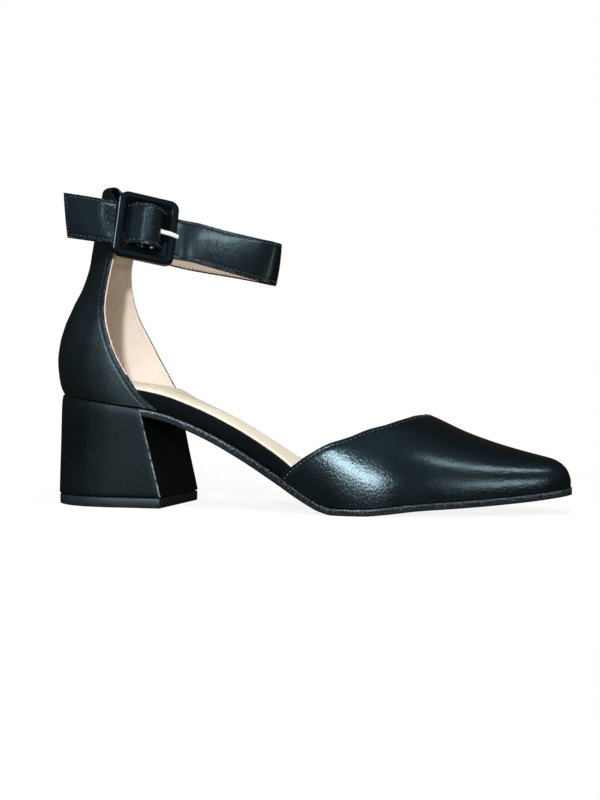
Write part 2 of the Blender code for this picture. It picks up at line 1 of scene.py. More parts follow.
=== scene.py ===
"""Looks of a right block-heel pump with a buckled ankle strap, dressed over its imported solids.

Tables are in millimetres from a line behind the heel, as in the part's source, and become
metres about the shoe's own origin when a mesh is made.
"""
import json
import math

import bmesh
import bpy
import numpy as np
from bpy.props import FloatProperty, FloatVectorProperty, PointerProperty
from mathutils import Matrix, Quaternion, Vector
from mathutils.kdtree import KDTree

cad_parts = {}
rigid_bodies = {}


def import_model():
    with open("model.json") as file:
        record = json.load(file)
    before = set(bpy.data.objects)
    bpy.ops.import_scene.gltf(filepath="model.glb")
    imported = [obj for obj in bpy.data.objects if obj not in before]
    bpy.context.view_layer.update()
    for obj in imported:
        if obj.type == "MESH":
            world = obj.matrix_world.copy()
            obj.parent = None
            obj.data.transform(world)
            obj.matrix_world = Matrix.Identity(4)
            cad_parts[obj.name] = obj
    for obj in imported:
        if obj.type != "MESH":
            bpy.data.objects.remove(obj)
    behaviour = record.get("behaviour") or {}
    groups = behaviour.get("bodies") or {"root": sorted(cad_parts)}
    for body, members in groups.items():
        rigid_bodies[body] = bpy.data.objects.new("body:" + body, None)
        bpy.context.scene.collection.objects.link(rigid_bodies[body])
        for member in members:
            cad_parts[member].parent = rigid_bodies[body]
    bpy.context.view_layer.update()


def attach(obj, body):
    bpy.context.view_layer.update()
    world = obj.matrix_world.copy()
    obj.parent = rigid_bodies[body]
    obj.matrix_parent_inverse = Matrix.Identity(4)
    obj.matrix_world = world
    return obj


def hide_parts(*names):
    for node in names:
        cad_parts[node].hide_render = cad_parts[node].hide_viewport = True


bl_info = {
    "name": "Heeled shoe",
    "version": (1, 0, 0),
    "blender": (4, 5, 0),
    "location": "View3D > Sidebar > Shoe",
    "description": "Leather, lining, stitching, sole and buckle of a block-heel pump",
    "category": "Object",
}

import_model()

MM = 0.001
GAP = 0.3
WELD = 0.02
MIDDLE = np.array([128.71, 0.61, 0.0])
SIDES = ("lateral", "medial")

# Walls, edges and places of the layers, strap and buckle
VAMP_WALL = 1.6
VAMP_FOOT = 0.2
COUNTER_WALL = 1.7
COUNTER_FOOT = 0.7
SEAT_EDGE = 24.0
SOLE_RIM = 2.1
SOLE_BACK = 55.6
SOLE_BACK_SLANT = 2.5
SOCK_THICKNESS = 1.2
INSOLE_EDGE = 0.6
SOCK_EDGE = 0.8
INSOLE_TOE = 250.5
SOCK_TOE = 246.5
LIFT_HEIGHT = 5.0
HEEL_CORNER = 0.8
HEEL_PARALLEL = 36.0
END_CROWDING = 1.7
TOE_CROWDING = 1.8
STRAP_WIDTH = 20.8
STRAP_THICKNESS = 1.8
STRAP_PITCH = math.radians(14.0)
UPRIGHT = np.array([math.sin(STRAP_PITCH), 0.0, math.cos(STRAP_PITCH)])
STRAP_END_SLANT = 3.2
STRAP_END_RAMP = 14.0
STRAP_RISE = 89.0
TUNNEL_ROOM = 3.7
TUNNEL_LEAD = 3.0
TUNNEL_FROM = 76.0
TUNNEL_TOP = 101.8
FLAP_BEND = 73.0
FLAP_ROOM = 2.0
FLAP_END = 69.0
FLAP_CLEAR = 0.35
BUCKLE_MIDDLE = np.array([58.3, -26.37, 133.4])
BUCKLE_TURN = math.radians(33.0)
BUCKLE_LEAN = -23.0
BUCKLE_PITCH = math.radians(10.3)
BUCKLE_LENGTH = 29.4
BUCKLE_HEIGHT = 33.8
BUCKLE_BAR = 3.8
BUCKLE_CORNER = 4.6
BAR_RADIUS = 1.1
BAR_DROP = 1.0
HOOK_RADIUS = BAR_RADIUS + GAP + STRAP_THICKNESS / 2
HOOK_TURN = (120.0, -30.0)
PRONG_WIDTH = 2.2
PRONG_DEPTH = 1.2
PRONG_RING = 1.95
PRONG_RING_FROM = math.radians(85.0)
PRONG_RING_TO = math.radians(350.0)
PRONG_SQUARE = 0.45
PRONG_END = 0.8
SPARE_HOLE = (2.0, 3.2, 1.0)
HOLE_DEPTH = 8.0
FOLD_MARK = (19.0, -2.6)
FOLD_BREADTH = 1.3
FOLD_SHARE = 1.5
EDGE_STEPS = 5
EVEN_REACH = 8.0
EVEN_SEAT = 4.0
EVEN_STEPS = ((-1.0, 0.125), (-0.5, 0.25), (0.0, 0.25), (0.5, 0.25), (1.0, 0.125))
TOPLINE_TAPER = 4.5
FLAP_DARK_ROWS = 14
# Reach of the painted shade on the strap's lining about the buckle's middle
SHADE_PAINT_REACH = 26.0
BOUND_HEIGHT = 64.0
BOUND_BREADTH = 0.7
NO_EDGE_MARK = 9.0
LINING_ROWS = 67
STRAP_CROWN = 0.55
CROWN_CLEAR = 12.0
CROWN_RAMP = 10.0
TOPLINE_SHARE = 0.62
LINING_SHORT = 0.5
INNER_STITCH = 0.6
SEAM_CLEAR_ROWS = 6
END_CLEAR = 0.06
EDGE_FIT = 5.0
SOCK_LIFT = 0.3
SOCK_CROWN = 0.4
CROWN_SIDE = (0.5, 0.75)
SOLE_BACK_CLEAR = 1.0
TAIL_SHARE = 0.8
FOLDED_PART = 12

# Rows, picks and steps of the meshes
VAMP_TURNS = 121
VAMP_ROWS = 86
COUNTER_PICKS = 101
COUNTER_ROWS = 86
FOLD_ROWS = 13
TUNNEL_ROWS = 18
FLAP_ROWS = 12
STRAP_STEP = 1.1
STRAP_PICKS = 41
HOOK_STEP = 30.0
TUNNEL_PICKS = 65
TUNNEL_SKIP = 5
MARK_PICKS = 40
END_PICKS = 30
INSET_ROWS = 30
FRAME_STEP = 0.3
FRAME_TURNS = 9
BAR_SIDES = 24
PRONG_STEP = 0.5
PRONG_TURNS = 24
PRONG_SIDES = 20
HOLE_SIDES = 20
HEEL_PICKS = 91
HEEL_TURNS = 6
HEEL_ROWS = 22
BREAST_PICKS = 18
SHEEN_LINE_PICKS = 120


def table(columns, *rows):
    """Columns by name from rows written one section at a time."""
    return dict(zip(columns.split(), np.array(rows, float).T))


# Plan of the last: half breadths to each side of the axis, and how far the sock flares past it
OUTLINE = table(
    "x axis lateral medial flare",
    (7.7, 0.0, 0.0, 0.0, 2.7),
    (10.7, 0.0, 10.0, 10.0, 1.5),
    (15.7, 0.0, 16.0, 16.0, 1.0),
    (22.7, 0.0, 21.0, 21.0, 0.8),
    (32.7, 0.0, 24.6, 24.6, 0.7),
    (43.0, 0.0, 25.6, 25.6, 0.6),
    (56.0, 0.0, 24.8, 24.6, 0.3),
    (70.0, 0.0, 22.6, 21.4, 0.0),
    (85.0, 0.0, 20.8, 17.8, 0.0),
    (100.0, 0.0, 20.9, 16.4, 0.0),
    (110.0, 0.1, 22.8, 17.4, 0.0),
    (120.0, 0.3, 26.0, 20.2, 0.0),
    (130.0, 0.5, 29.7, 24.8, 0.0),
    (140.0, 0.7, 33.1, 29.4, 0.0),
    (150.0, 0.9, 36.0, 33.4, 0.0),
    (160.0, 1.1, 37.5, 36.2, 0.0),
    (170.0, 1.3, 37.3, 37.3, 0.0),
    (185.0, 1.6, 34.6, 36.0, 0.0),
    (200.0, 1.9, 30.2, 32.2, 0.0),
    (215.0, 2.1, 24.6, 26.2, 0.0),
    (230.0, 2.3, 18.2, 19.2, 0.0),
    (240.0, 2.4, 13.4, 14.0, 0.0),
    (247.0, 2.5, 9.4, 9.7, 0.0),
    (251.0, 2.6, 6.1, 6.2, 0.0),
    (253.5, 2.6, 0.0, 0.0, 0.0),
)

# Height of the seat at the outer edge, thickness of insole and sole, and fall towards the inner side
PROFILE = table(
    "x seat insole sole roll",
    (0.0, 55.4, 8.2, 3.6, 0.000),
    (56.0, 47.7, 8.2, 3.6, 0.000),
    (67.0, 45.2, 8.1, 3.6, 0.052),
    (74.0, 42.7, 8.1, 3.6, 0.066),
    (83.0, 38.9, 8.3, 3.6, 0.070),
    (92.0, 34.6, 8.5, 3.6, 0.074),
    (101.0, 29.8, 8.7, 3.7, 0.083),
    (110.0, 24.8, 8.8, 3.7, 0.100),
    (119.0, 19.5, 8.7, 3.7, 0.112),
    (126.0, 15.3, 8.3, 3.6, 0.106),
    (133.0, 10.9, 7.4, 3.4, 0.080),
    (140.0, 7.1, 6.4, 3.2, 0.038),
    (146.0, 4.7, 5.6, 3.2, 0.009),
    (152.0, 3.5, 4.8, 3.2, 0.000),
    (165.0, 3.5, 3.6, 3.2, 0.000),
    (175.0, 4.3, 3.3, 3.2, 0.000),
    (190.0, 6.0, 3.1, 3.2, 0.000),
    (207.0, 7.1, 2.9, 3.2, 0.000),
    (224.0, 8.4, 2.8, 3.2, 0.000),
    (241.0, 10.1, 2.6, 3.2, 0.000),
    (257.0, 12.5, 2.6, 3.2, 0.000),
)

# Vamp: height of the last over the seat line, and how square its section is
CROWN = table(
    "x height square",
    (118.0, 68.0, 2.25),
    (126.0, 64.0, 2.25),
    (140.0, 58.5, 2.25),
    (155.0, 52.5, 2.25),
    (170.0, 46.2, 2.3),
    (188.0, 38.1, 2.3),
    (204.0, 29.3, 2.35),
    (222.0, 21.6, 2.45),
    (240.6, 14.8, 2.55),
    (246.0, 12.9, 2.55),
    (250.0, 10.0, 2.5),
    (252.3, 6.9, 2.4),
    (253.5, 3.2, 2.4),
)

# Vamp topline: where the wall starts, by the turn round the section from the outer edge
TOPLINE = table(
    "turn x",
    (0.0, 126.0),
    (9.0, 133.6),
    (17.0, 140.0),
    (28.0, 149.4),
    (36.0, 159.5),
    (43.0, 166.0),
    (52.0, 174.6),
    (69.0, 183.4),
    (90.0, 188.0),
    (111.0, 183.4),
    (128.0, 174.6),
    (137.0, 166.0),
    (144.0, 159.5),
    (152.0, 149.4),
    (163.0, 140.0),
    (171.0, 133.6),
    (180.0, 126.0),
)

# Counter by its rise over the seat: back, size of the heel curve, and its two front edges
COUNTER = table(
    "rise back scale lateral medial",
    (0.0, 7.5, 1.000, 64.0, 65.0),
    (4.0, 5.3, 1.015, 57.5, 58.8),
    (9.0, 4.2, 1.025, 52.5, 53.8),
    (16.0, 3.6, 1.030, 47.5, 49.0),
    (24.5, 4.6, 1.020, 42.3, 43.6),
    (34.6, 7.6, 0.985, 38.2, 38.1),
    (40.6, 10.3, 0.950, 36.4, 35.2),
    (46.0, 12.8, 0.910, 35.6, 33.6),
    (51.0, 15.5, 0.865, 35.5, 33.0),
    (57.7, 18.2, 0.810, 36.0, 32.7),
    (64.7, 20.4, 0.785, 37.2, 33.0),
    (72.0, 21.7, 0.780, 39.0, 34.0),
    (76.0, 22.4, 0.780, 40.4, 35.4),
    (90.0, 25.2, 0.780, 41.6, 38.0),
    (98.0, 26.6, 0.780, 40.4, 38.2),
    (103.7, 27.4, 0.780, 35.6, 35.2),
)

# Heel by its share of the height: back, breast at each side, and spread of the seat outline
HEEL = table(
    "share back lateral medial spread",
    (0.00, 2.4, 64.9, 66.0, 1.000),
    (0.08, 2.5, 64.1, 65.3, 1.000),
    (0.50, 3.2, 59.6, 61.4, 1.000),
    (0.92, 3.9, 55.2, 57.6, 1.010),
    (1.00, 4.5, 54.3, 56.8, 0.995),
)

# Levels of the heel's cover and of the top lift, and how far each is rounded in
HEEL_LEVELS = table(
    "share trim",
    (0.0, 0.9),
    (0.0, 0.35),
    (0.006, 0.1),
    (0.018, 0.0),
    (0.985, 0.0),
    (0.996, 0.12),
    (1.0, 0.4),
    (1.0, 0.9),
)
LIFT_LEVELS = table(
    "height trim",
    (0.0, 1.1),
    (0.0, 0.75),
    (0.12, 0.45),
    (0.45, 0.25),
    (4.4, 0.22),
    (4.8, 0.4),
    (5.0, 0.8),
    (5.0, 1.2),
)

# Strap from the tunnel round the front to the buckle; a lean in degrees below zero turns its top edge in
STRAP = table(
    "x y z lean",
    (50.0, 22.8, 132.0, 0.0),
    (60.0, 25.6, 129.2, 0.0),
    (72.0, 27.0, 126.8, 0.0),
    (88.0, 27.0, 123.9, 0.0),
    (100.0, 25.8, 121.4, -1.0),
    (107.4, 22.8, 119.7, -3.0),
    (110.4, 18.0, 119.0, -6.0),
    (109.4, 12.0, 119.4, -11.0),
    (105.2, 6.4, 120.4, -17.0),
    (97.6, 1.0, 122.4, -22.0),
    (88.0, -4.4, 124.9, -25.0),
    (78.0, -10.0, 127.8, -26.0),
)

# Strap through the buckle, from the front bar over the centre bar to the back bar
BUCKLE_RUN = table(
    "along out up lean",
    (14.4, -4.7, 0.5, -25.0),
    (11.3, -4.0, 0.7, -24.5),
    (9.4, -2.6, 0.8, -24.0),
    (7.2, 0.3, 0.9, -23.0),
    (4.1, 2.75, 0.9, -23.0),
    (0.0, 3.5, 0.9, -23.0),
    (-4.1, 2.75, 0.9, -23.0),
    (-7.2, 0.5, 0.9, -23.0),
    (-9.4, -2.0, 0.9, -23.0),
    (-11.3, -2.95, 0.9, -23.0),
    (-14.4, -3.1, 0.9, -22.0),
)

# Free end of the strap behind the buckle
FREE_END = table(
    "x y z lean",
    (37.8, -34.8, 137.1, -15.0),
    (30.1, -36.2, 138.4, -11.0),
    (21.6, -36.6, 139.8, -8.0),
)

# Section of the buckle's frame: place across the bar, share of the bevel into the window, and depth
FRAME_SECTION = table(
    "width bevel out",
    (1.55, 0.0, -1.5),
    (1.9, 0.0, -0.8),
    (1.9, 0.0, 0.5),
    (1.6, 0.0, 1.35),
    (0.9, 0.0, 1.75),
    (-0.3, 0.0, 1.8),
    (-1.2, 0.0, 1.6),
    (-1.65, 0.0, 1.1),
    (-1.9, 0.35, 0.1),
    (-1.9, 1.0, -0.9),
    (-1.9, 1.0, -1.5),
    (-1.5, 0.9, -1.75),
    (0.0, 0.0, -1.75),
    (1.0, 0.0, -1.7),
    (1.55, 0.0, -1.5),
)
TOP_BEVEL = 1.4
LOW_BEVEL = 3.5
WINDOW_CORNER = 1.6
BEVEL_ROUND = 2.6

# Prong from its ring on the bar over the front bar, in the buckle's plane
PRONG_SHANK = table(
    "along out up",
    (2.5, -0.2, 0.0),
    (3.6, 0.55, 0.0),
    (5.0, 1.0, -0.1),
    (8.3, 1.8, -0.7),
    (11.6, 2.65, -1.3),
    (15.3, 2.7, -2.0),
)

# One stitch: rings along its length, their size and how far they stand out of the leather
STITCH = table(
    "along radius rise",
    (-1.0, 0.35, -0.9),
    (-0.8, 0.85, -0.15),
    (-0.35, 1.0, 0.25),
    (0.35, 1.0, 0.25),
    (0.8, 0.85, -0.15),
    (1.0, 0.35, -0.9),
)
STITCH_SIDES = 6

# Edge of the sole from its top inwards and down: share of the thickness, and step in from the rim
SOLE_EDGE = table(
    "share step",
    (0.0, 0.9),
    (0.0, 0.30),
    (0.05, 0.08),
    (0.12, 0.0),
    (0.50, 0.0),
    (0.55, 0.12),
    (0.58, 0.34),
    (0.63, 0.34),
    (0.66, 0.16),
    (0.80, 0.22),
    (0.90, 0.45),
    (0.97, 0.85),
    (1.0, 1.5),
    (1.0, 4.0),
)
SOLE_BAND = 0.56

# Edge of the insole board and of the sock, from the bottom out and up
BOARD_EDGE = table(
    "share step",
    (0.0, 2.0),
    (0.0, 0.5),
    (0.06, 0.12),
    (0.3, -0.05),
    (0.6, -0.08),
    (0.82, 0.05),
    (0.93, 0.3),
    (0.99, 0.8),
    (1.0, 1.6),
)
SOCK_EDGE_ROUND = table(
    "share step",
    (0.0, 2.0),
    (0.0, 0.5),
    (0.15, 0.12),
    (0.45, 0.0),
    (0.75, 0.2),
    (0.92, 0.6),
    (1.0, 1.4),
    (1.1, 3.0),
)

# Lamps by direction in degrees, distance and size in metres, roll in degrees and watts
LAMPS = {
    "streak": (-10.0, 15.0, 0.9, 0.60, 0.13, -22.0, 8.5),
    "toe_band": (53.0, 38.0, 1.0, 0.40, 0.10, 0.0, 1.3),
    "toe_low": (46.0, 8.0, 1.0, 0.30, 0.10, 0.0, 0.9),
    "strap_front": (56.0, 53.0, 1.0, 0.16, 0.06, 0.0, 0.9),
    "strap_bulge": (25.0, 42.0, 1.0, 0.04, 0.26, 0.0, 0.65),
    "strap_free": (-4.0, 28.0, 1.1, 0.50, 0.20, 0.0, 0.08),
    "strap_turn": (102.0, 8.0, 1.0, 0.06, 0.30, 0.0, 0.4),
    "buckle_line": (-75.0, 28.0, 1.0, 0.55, 0.60, 0.0, 14.0),
    "lining_light": (8.0, 21.0, 1.4, 0.10, 0.10, 0.0, 19.0),
    "fill": (10.0, 70.0, 1.1, 0.80, 0.60, 0.0, 12.0),
}

# Beginnings of the names of the pieces that a lamp lights; the other lamps light all
LAMP_PIECES = {
    "streak": ("vamp", "sole", "heel", "lift", "counter"),
    "toe_band": ("vamp", "sole"),
    "toe_low": ("vamp", "sole"),
    "strap_front": ("strap",),
    "strap_bulge": ("strap",),
    "strap_free": ("strap",),
    "strap_turn": ("strap",),
    "buckle_line": ("buckle",),
}
DIFFUSE_LAMPS = ("lining_light", "fill")
MATT_LAMP = (0.98, 0.97, 1.02)
GLOSS_LAMP = (0.62, 0.88, 1.0)
LAMP_TARGET = (0.0, 0.0, 0.06)
CAMERA_TARGET = (127.0, 0.0, 51.8)
CAMERA_SENSOR = 36.0
CAMERA_NEAR = 0.01
FLOOR_SIZE = 6.0

# Surround in gloss by direction, and the floor's run to white by distance: ends, then where they lie
UPPER_SHARE = (0.04, 1.0, 0.0, 0.5)
FRONT_SHARE = (1.0, 0.0, -0.5, 0.3)
WHITE_SHARE = (0.88, 1.0, 0.15, 0.4)
FRONT_TONE = (0.40, 0.74, 0.95)
BACK_TONE = (0.10, 0.07, 0.05)
MATT_TONE = (0.86, 0.74, 0.50)

# Leather: what all share, and what each has of its own
LEATHER = {"grain": 850.0, "depth": 0.00006, "wear_and_sheen": 0.3, "broken": 0.5, "coat": 0.15, "specular": 0.5}
LEATHERS = {
    "vamp leather": {"roughness": 0.17, "depth": 0.00009},
    "counter leather": {"roughness": 0.36, "coat": 0.0},
    "strap leather": {"roughness": 0.25, "depth": 0.00011, "wear_and_sheen": 0.15},
    "insole wrap": {"roughness": 0.6, "coat": 0.0, "specular": 0.15},
    # The heel's strong, nearly unbroken pale line along its corners is a painted highlight.
    "heel leather": {"roughness": 0.42, "wear_and_sheen": 0.7, "broken": 0.34, "coat": 0.0, "specular": 0.24},
}
COAT_ROUGHNESS = 0.12
LINING_ROUGHNESS = 0.7
SOCK_ROUGHNESS = 0.55
LIFT_ROUGHNESS = 0.5


class ShoeSizes(bpy.types.PropertyGroup):
    """Sizes of the sewing and of the layers."""

    lining: FloatProperty(
        name="Lining", description="Thickness of the lining", default=0.0006, unit="LENGTH")
    edge_show: FloatProperty(
        name="Lining edge", description="Lining that shows past the counter's leather",
        default=0.00026, unit="LENGTH")
    edge_round: FloatProperty(
        name="Edge rounding", description="Rounding of a cut leather edge",
        default=0.00025, unit="LENGTH")
    lining_inset: FloatProperty(
        name="Lining inset", description="Strap's lining inside the wrapped leather edge",
        default=0.0003, unit="LENGTH")
    stitch_length: FloatProperty(
        name="Stitch", description="Length of one stitch", default=0.00135, unit="LENGTH")
    stitch_pitch: FloatProperty(
        name="Pitch", description="From one stitch to the next", default=0.0022, unit="LENGTH")
    thread: FloatProperty(
        name="Thread", description="Thickness of the thread", default=0.00058, unit="LENGTH")
    topline_inset: FloatProperty(
        name="Topline row", description="Stitch row inside the vamp's topline",
        default=0.0017, unit="LENGTH")
    counter_inset: FloatProperty(
        name="Counter row", description="Stitch row inside the counter's front edges",
        default=0.0021, unit="LENGTH")
    strap_inset: FloatProperty(
        name="Strap row", description="Stitch row inside the strap's edges",
        default=0.0013, unit="LENGTH")
    seam_depth: FloatProperty(
        name="Seam trough", description="How far a stitch row pulls the leather in",
        default=0.00012, unit="LENGTH")
    spare_hole: FloatProperty(
        name="Spare hole", description="Radius of the strap's spare hole", default=0.0007, unit="LENGTH")


class ShoeColours(bpy.types.PropertyGroup):
    """Colours of the finishes."""

    leather: FloatVectorProperty(
        name="Leather", description="Blue-black upper leather", subtype="COLOR",
        default=(0.0022, 0.0044, 0.0052))
    # Pale edge colour: partly rubbed leather, partly a painted highlight along edges, most of all along the
    # heel's corners.
    worn_and_sheen: FloatVectorProperty(
        name="Worn edge", description="Rubbed leather along edges", subtype="COLOR",
        default=(0.30, 0.33, 0.33))
    lining: FloatVectorProperty(
        name="Lining", description="Beige upper lining", subtype="COLOR", default=(0.74, 0.655, 0.575))
    sock: FloatVectorProperty(
        name="Sock", description="Cream sock under the foot", subtype="COLOR", default=(0.73, 0.68, 0.56))
    wrap: FloatVectorProperty(
        name="Insole wrap", description="Black edge of the insole", subtype="COLOR",
        default=(0.003, 0.0045, 0.0055))
    sole: FloatVectorProperty(
        name="Sole", description="Black sole", subtype="COLOR", default=(0.008, 0.010, 0.012))
    lift: FloatVectorProperty(
        name="Top lift", description="Black tread of the heel", subtype="COLOR",
        default=(0.007, 0.009, 0.011))
    lacquer: FloatVectorProperty(
        name="Buckle", description="Black lacquer of the frame", subtype="COLOR",
        default=(0.0014, 0.0024, 0.0032))
    steel: FloatVectorProperty(
        name="Prong", description="Plated prong", subtype="COLOR", default=(0.80, 0.83, 0.80))
    thread: FloatVectorProperty(
        name="Thread", description="Black thread", subtype="COLOR", default=(0.036, 0.048, 0.054))
    inner_thread: FloatVectorProperty(
        name="Inner thread", description="Thread on the lining", subtype="COLOR",
        default=(0.52, 0.43, 0.31))
    floor: FloatVectorProperty(
        name="Floor", description="Pale studio floor", subtype="COLOR", default=(0.86, 0.86, 0.86))


class ShoeStage(bpy.types.PropertyGroup):
    """Camera and lights."""

    azimuth: FloatProperty(
        name="Azimuth", description="Camera round to the toe", default=math.radians(15.0), subtype="ANGLE")
    elevation: FloatProperty(
        name="Elevation", description="Camera over the floor", default=math.radians(0.6), subtype="ANGLE")
    distance: FloatProperty(
        name="Distance", description="Camera to the shoe", default=0.620, unit="LENGTH")
    focal: FloatProperty(
        name="Lens", description="Focal length in millimetres", default=57.8)
    light: FloatProperty(
        name="Light", description="Strength of all lamps", default=1.0)
    surround: FloatProperty(
        name="Surround", description="Strength of the surround", default=0.35)


def flow(at, xs, ys):
    """Smooth curve through rows that never passes their highest or lowest value."""
    at = np.clip(np.asarray(at, float), xs[0], xs[-1])
    length = np.diff(xs)
    rate = np.diff(ys) / length
    before, after = rate[:-1], rate[1:]
    same_way = before * after > 0
    total = np.where(same_way, before + after, 1.0)
    slope = np.concatenate(([rate[0]], np.where(same_way, 2 * before * after / total, 0.0), [rate[-1]]))
    i = np.clip(np.searchsorted(xs, at, side="right") - 1, 0, len(length) - 1)
    t = (at - xs[i]) / length[i]
    start = ys[i] * (1 + 2 * t) + slope[i] * length[i] * t
    end = ys[i + 1] * (3 - 2 * t) - slope[i + 1] * length[i] * (1 - t)
    return start * (1 - t) ** 2 + end * t ** 2


def read(rows, column, at):
    """Value in a column of a table at a place in its first column."""
    return flow(at, next(iter(rows.values())), rows[column])


def seat(x, y=-SEAT_EDGE):
    """Height of the seat, which rolls inwards at the arch."""
    return read(PROFILE, "seat", x) - read(PROFILE, "roll", x) * (y + SEAT_EDGE)


def sole_thickness(x):
    """Upright thickness of the sole, which is even across its slope."""
    slope = (seat(x + 1.0) - seat(x - 1.0)) / 2
    return read(PROFILE, "sole", x) * np.hypot(1.0, slope)


def insole_thickness(x):
    """Thickness of the insole board."""
    return read(PROFILE, "insole", x)


def axis(x):
    """Sideways place of the last's axis."""
    return read(OUTLINE, "axis", x)


def half_breadth(x, side, grow=0.0, flare=0.0):
    """Half breadth of the last to one side; squares are blended so that both ends are round."""
    xs = OUTLINE["x"].copy()
    tilt = np.hypot(1.0, np.gradient(OUTLINE[side], xs))
    breadth = np.maximum(OUTLINE[side] + grow * tilt + flare * OUTLINE["flare"], 0.0)
    xs[0] -= grow + flare * OUTLINE["flare"][0]
    xs[-1] += grow
    breadth[0] = breadth[-1] = 0.0
    return np.sqrt(np.maximum(flow(x, xs, breadth ** 2), 0.0))


def evenly(curve, x, most=EVEN_REACH):
    """A curve averaged to both sides, so that reflections run on evenly; less so near the toe."""
    reach = np.clip((OUTLINE["x"][-1] - x) / 2, 0.0, most)
    return sum(weight * curve(x + step * reach) for step, weight in EVEN_STEPS)


def vamp_points(turns, alongs, shorten=0.0):
    """Inside of the front upper: rows from the topline to the toe."""
    turn, along = np.meshgrid(turns, alongs)
    start = read(TOPLINE, "x", turn) + shorten
    toe = OUTLINE["x"][-1]
    x = toe - (toe - start) * (1 - along) ** TOE_CROWDING
    angle = np.radians(turn)
    power = 2.0 / read(CROWN, "square", x)
    lateral, medial = (evenly(lambda at: half_breadth(at, side), x) for side in SIDES)
    y = axis(x) + np.where(turn < 90.0, -lateral, medial) * np.abs(np.cos(angle)) ** power
    height = evenly(lambda at: read(CROWN, "height", at), x)
    foot = evenly(lambda at: seat(at, y), x, EVEN_SEAT) + VAMP_FOOT
    return np.stack((x, y, foot + height * np.abs(np.sin(angle)) ** power), axis=-1)[:, ::-1]


def counter_row(rise, inset, reach, trim=(0.0, 0.0)):
    """One row round the back upper; reach runs from -1 at the outer edge to 1 at the inner."""
    back, scale = (read(COUNTER, column, rise) for column in ("back", "scale"))
    lateral, medial = (read(COUNTER, side, rise) - less for side, less in zip(SIDES, trim))
    depth = np.where(reach < 0, lateral - back, medial - back) * np.abs(reach) ** END_CROWDING
    place = OUTLINE["x"][0] + depth / scale
    half = np.where(reach < 0, half_breadth(place, "lateral"), half_breadth(place, "medial"))
    x = back + depth
    y = np.sign(reach) * scale * half
    tangent = np.stack((np.gradient(x), np.gradient(y)), axis=-1)
    tangent /= np.linalg.norm(tangent, axis=-1, keepdims=True)
    x, y = x + inset * tangent[:, 1], y - inset * tangent[:, 0]
    return np.stack((x, y, seat(x, y) + rise), axis=-1)


def counter_points(picks, trim=(0.0, 0.0)):
    """Inside of the back upper, its fold and its flap; also the rows before and up to the fold."""
    reach = np.sin(np.linspace(-math.pi / 2, math.pi / 2, picks))
    rows = [(rise, 0.0) for rise in np.linspace(COUNTER_FOOT, TUNNEL_TOP, COUNTER_ROWS)]
    outer = len(rows)
    radius = TUNNEL_ROOM / 2
    for turn in np.linspace(0.0, math.pi, FOLD_ROWS)[1:]:
        rows.append((TUNNEL_TOP + radius * math.sin(turn), radius * (1 - math.cos(turn))))
    folded = len(rows)
    rows += [(rise, TUNNEL_ROOM) for rise in np.linspace(TUNNEL_TOP, TUNNEL_FROM, TUNNEL_ROWS)[1:]]
    drop = np.linspace(TUNNEL_FROM, FLAP_END, FLAP_ROWS)[1:]
    closing = flow(-drop, -np.array((TUNNEL_FROM, FLAP_BEND, FLAP_END)),
                   np.array((TUNNEL_ROOM, FLAP_ROOM, FLAP_CLEAR)))
    rows += list(zip(drop, closing))
    points = np.array([counter_row(rise, inset, reach, trim) for rise, inset in rows])
    return points[:, ::-1], outer, folded


def upright_of(ways, lean):
    """Up the strap's width for ways along it, by the lean of its top edge outwards in degrees."""
    ways = ways / np.linalg.norm(ways, axis=-1, keepdims=True)
    outward = np.cross((0.0, 0.0, 1.0), ways)
    outward /= np.linalg.norm(outward, axis=-1, keepdims=True)
    lean = np.radians(lean)[..., None]
    up = np.cos(lean) * UPRIGHT + np.sin(lean) * outward
    up -= np.sum(up * ways, axis=-1, keepdims=True) * ways
    return up / np.linalg.norm(up, axis=-1, keepdims=True)


def buckle_axes():
    """Directions in the buckle: along the strap to the front, up its width, and outwards."""
    flat = math.cos(BUCKLE_PITCH)
    along = np.array([flat * math.cos(BUCKLE_TURN), flat * math.sin(BUCKLE_TURN), -math.sin(BUCKLE_PITCH)])
    up = upright_of(-along, np.array(BUCKLE_LEAN))
    return along, up, np.cross(along, up)


def buckle_points(along, out, up=0.0):
    """Places given in the buckle's own directions."""
    parts = np.broadcast_arrays(along, up, out)
    return BUCKLE_MIDDLE + sum(part[..., None] * way for part, way in zip(parts, buckle_axes()))


def smooth_route(points, step):
    """Curve through points, with one stretch or more between each pair."""
    knots = np.concatenate(([0.0], np.cumsum(np.linalg.norm(np.diff(points[:, :3], axis=0), axis=1))))
    slope = np.gradient(points, knots, axis=0)
    route = []
    for i, length in enumerate(np.diff(knots)):
        for t in np.linspace(0.0, 1.0, max(1, round(length / step)), endpoint=False):
            start = points[i] * (1 + 2 * t) + slope[i] * length * t
            end = points[i + 1] * (3 - 2 * t) - slope[i + 1] * length * (1 - t)
            route.append(start * (1 - t) ** 2 + end * t ** 2)
    return np.array(route + [points[-1]])


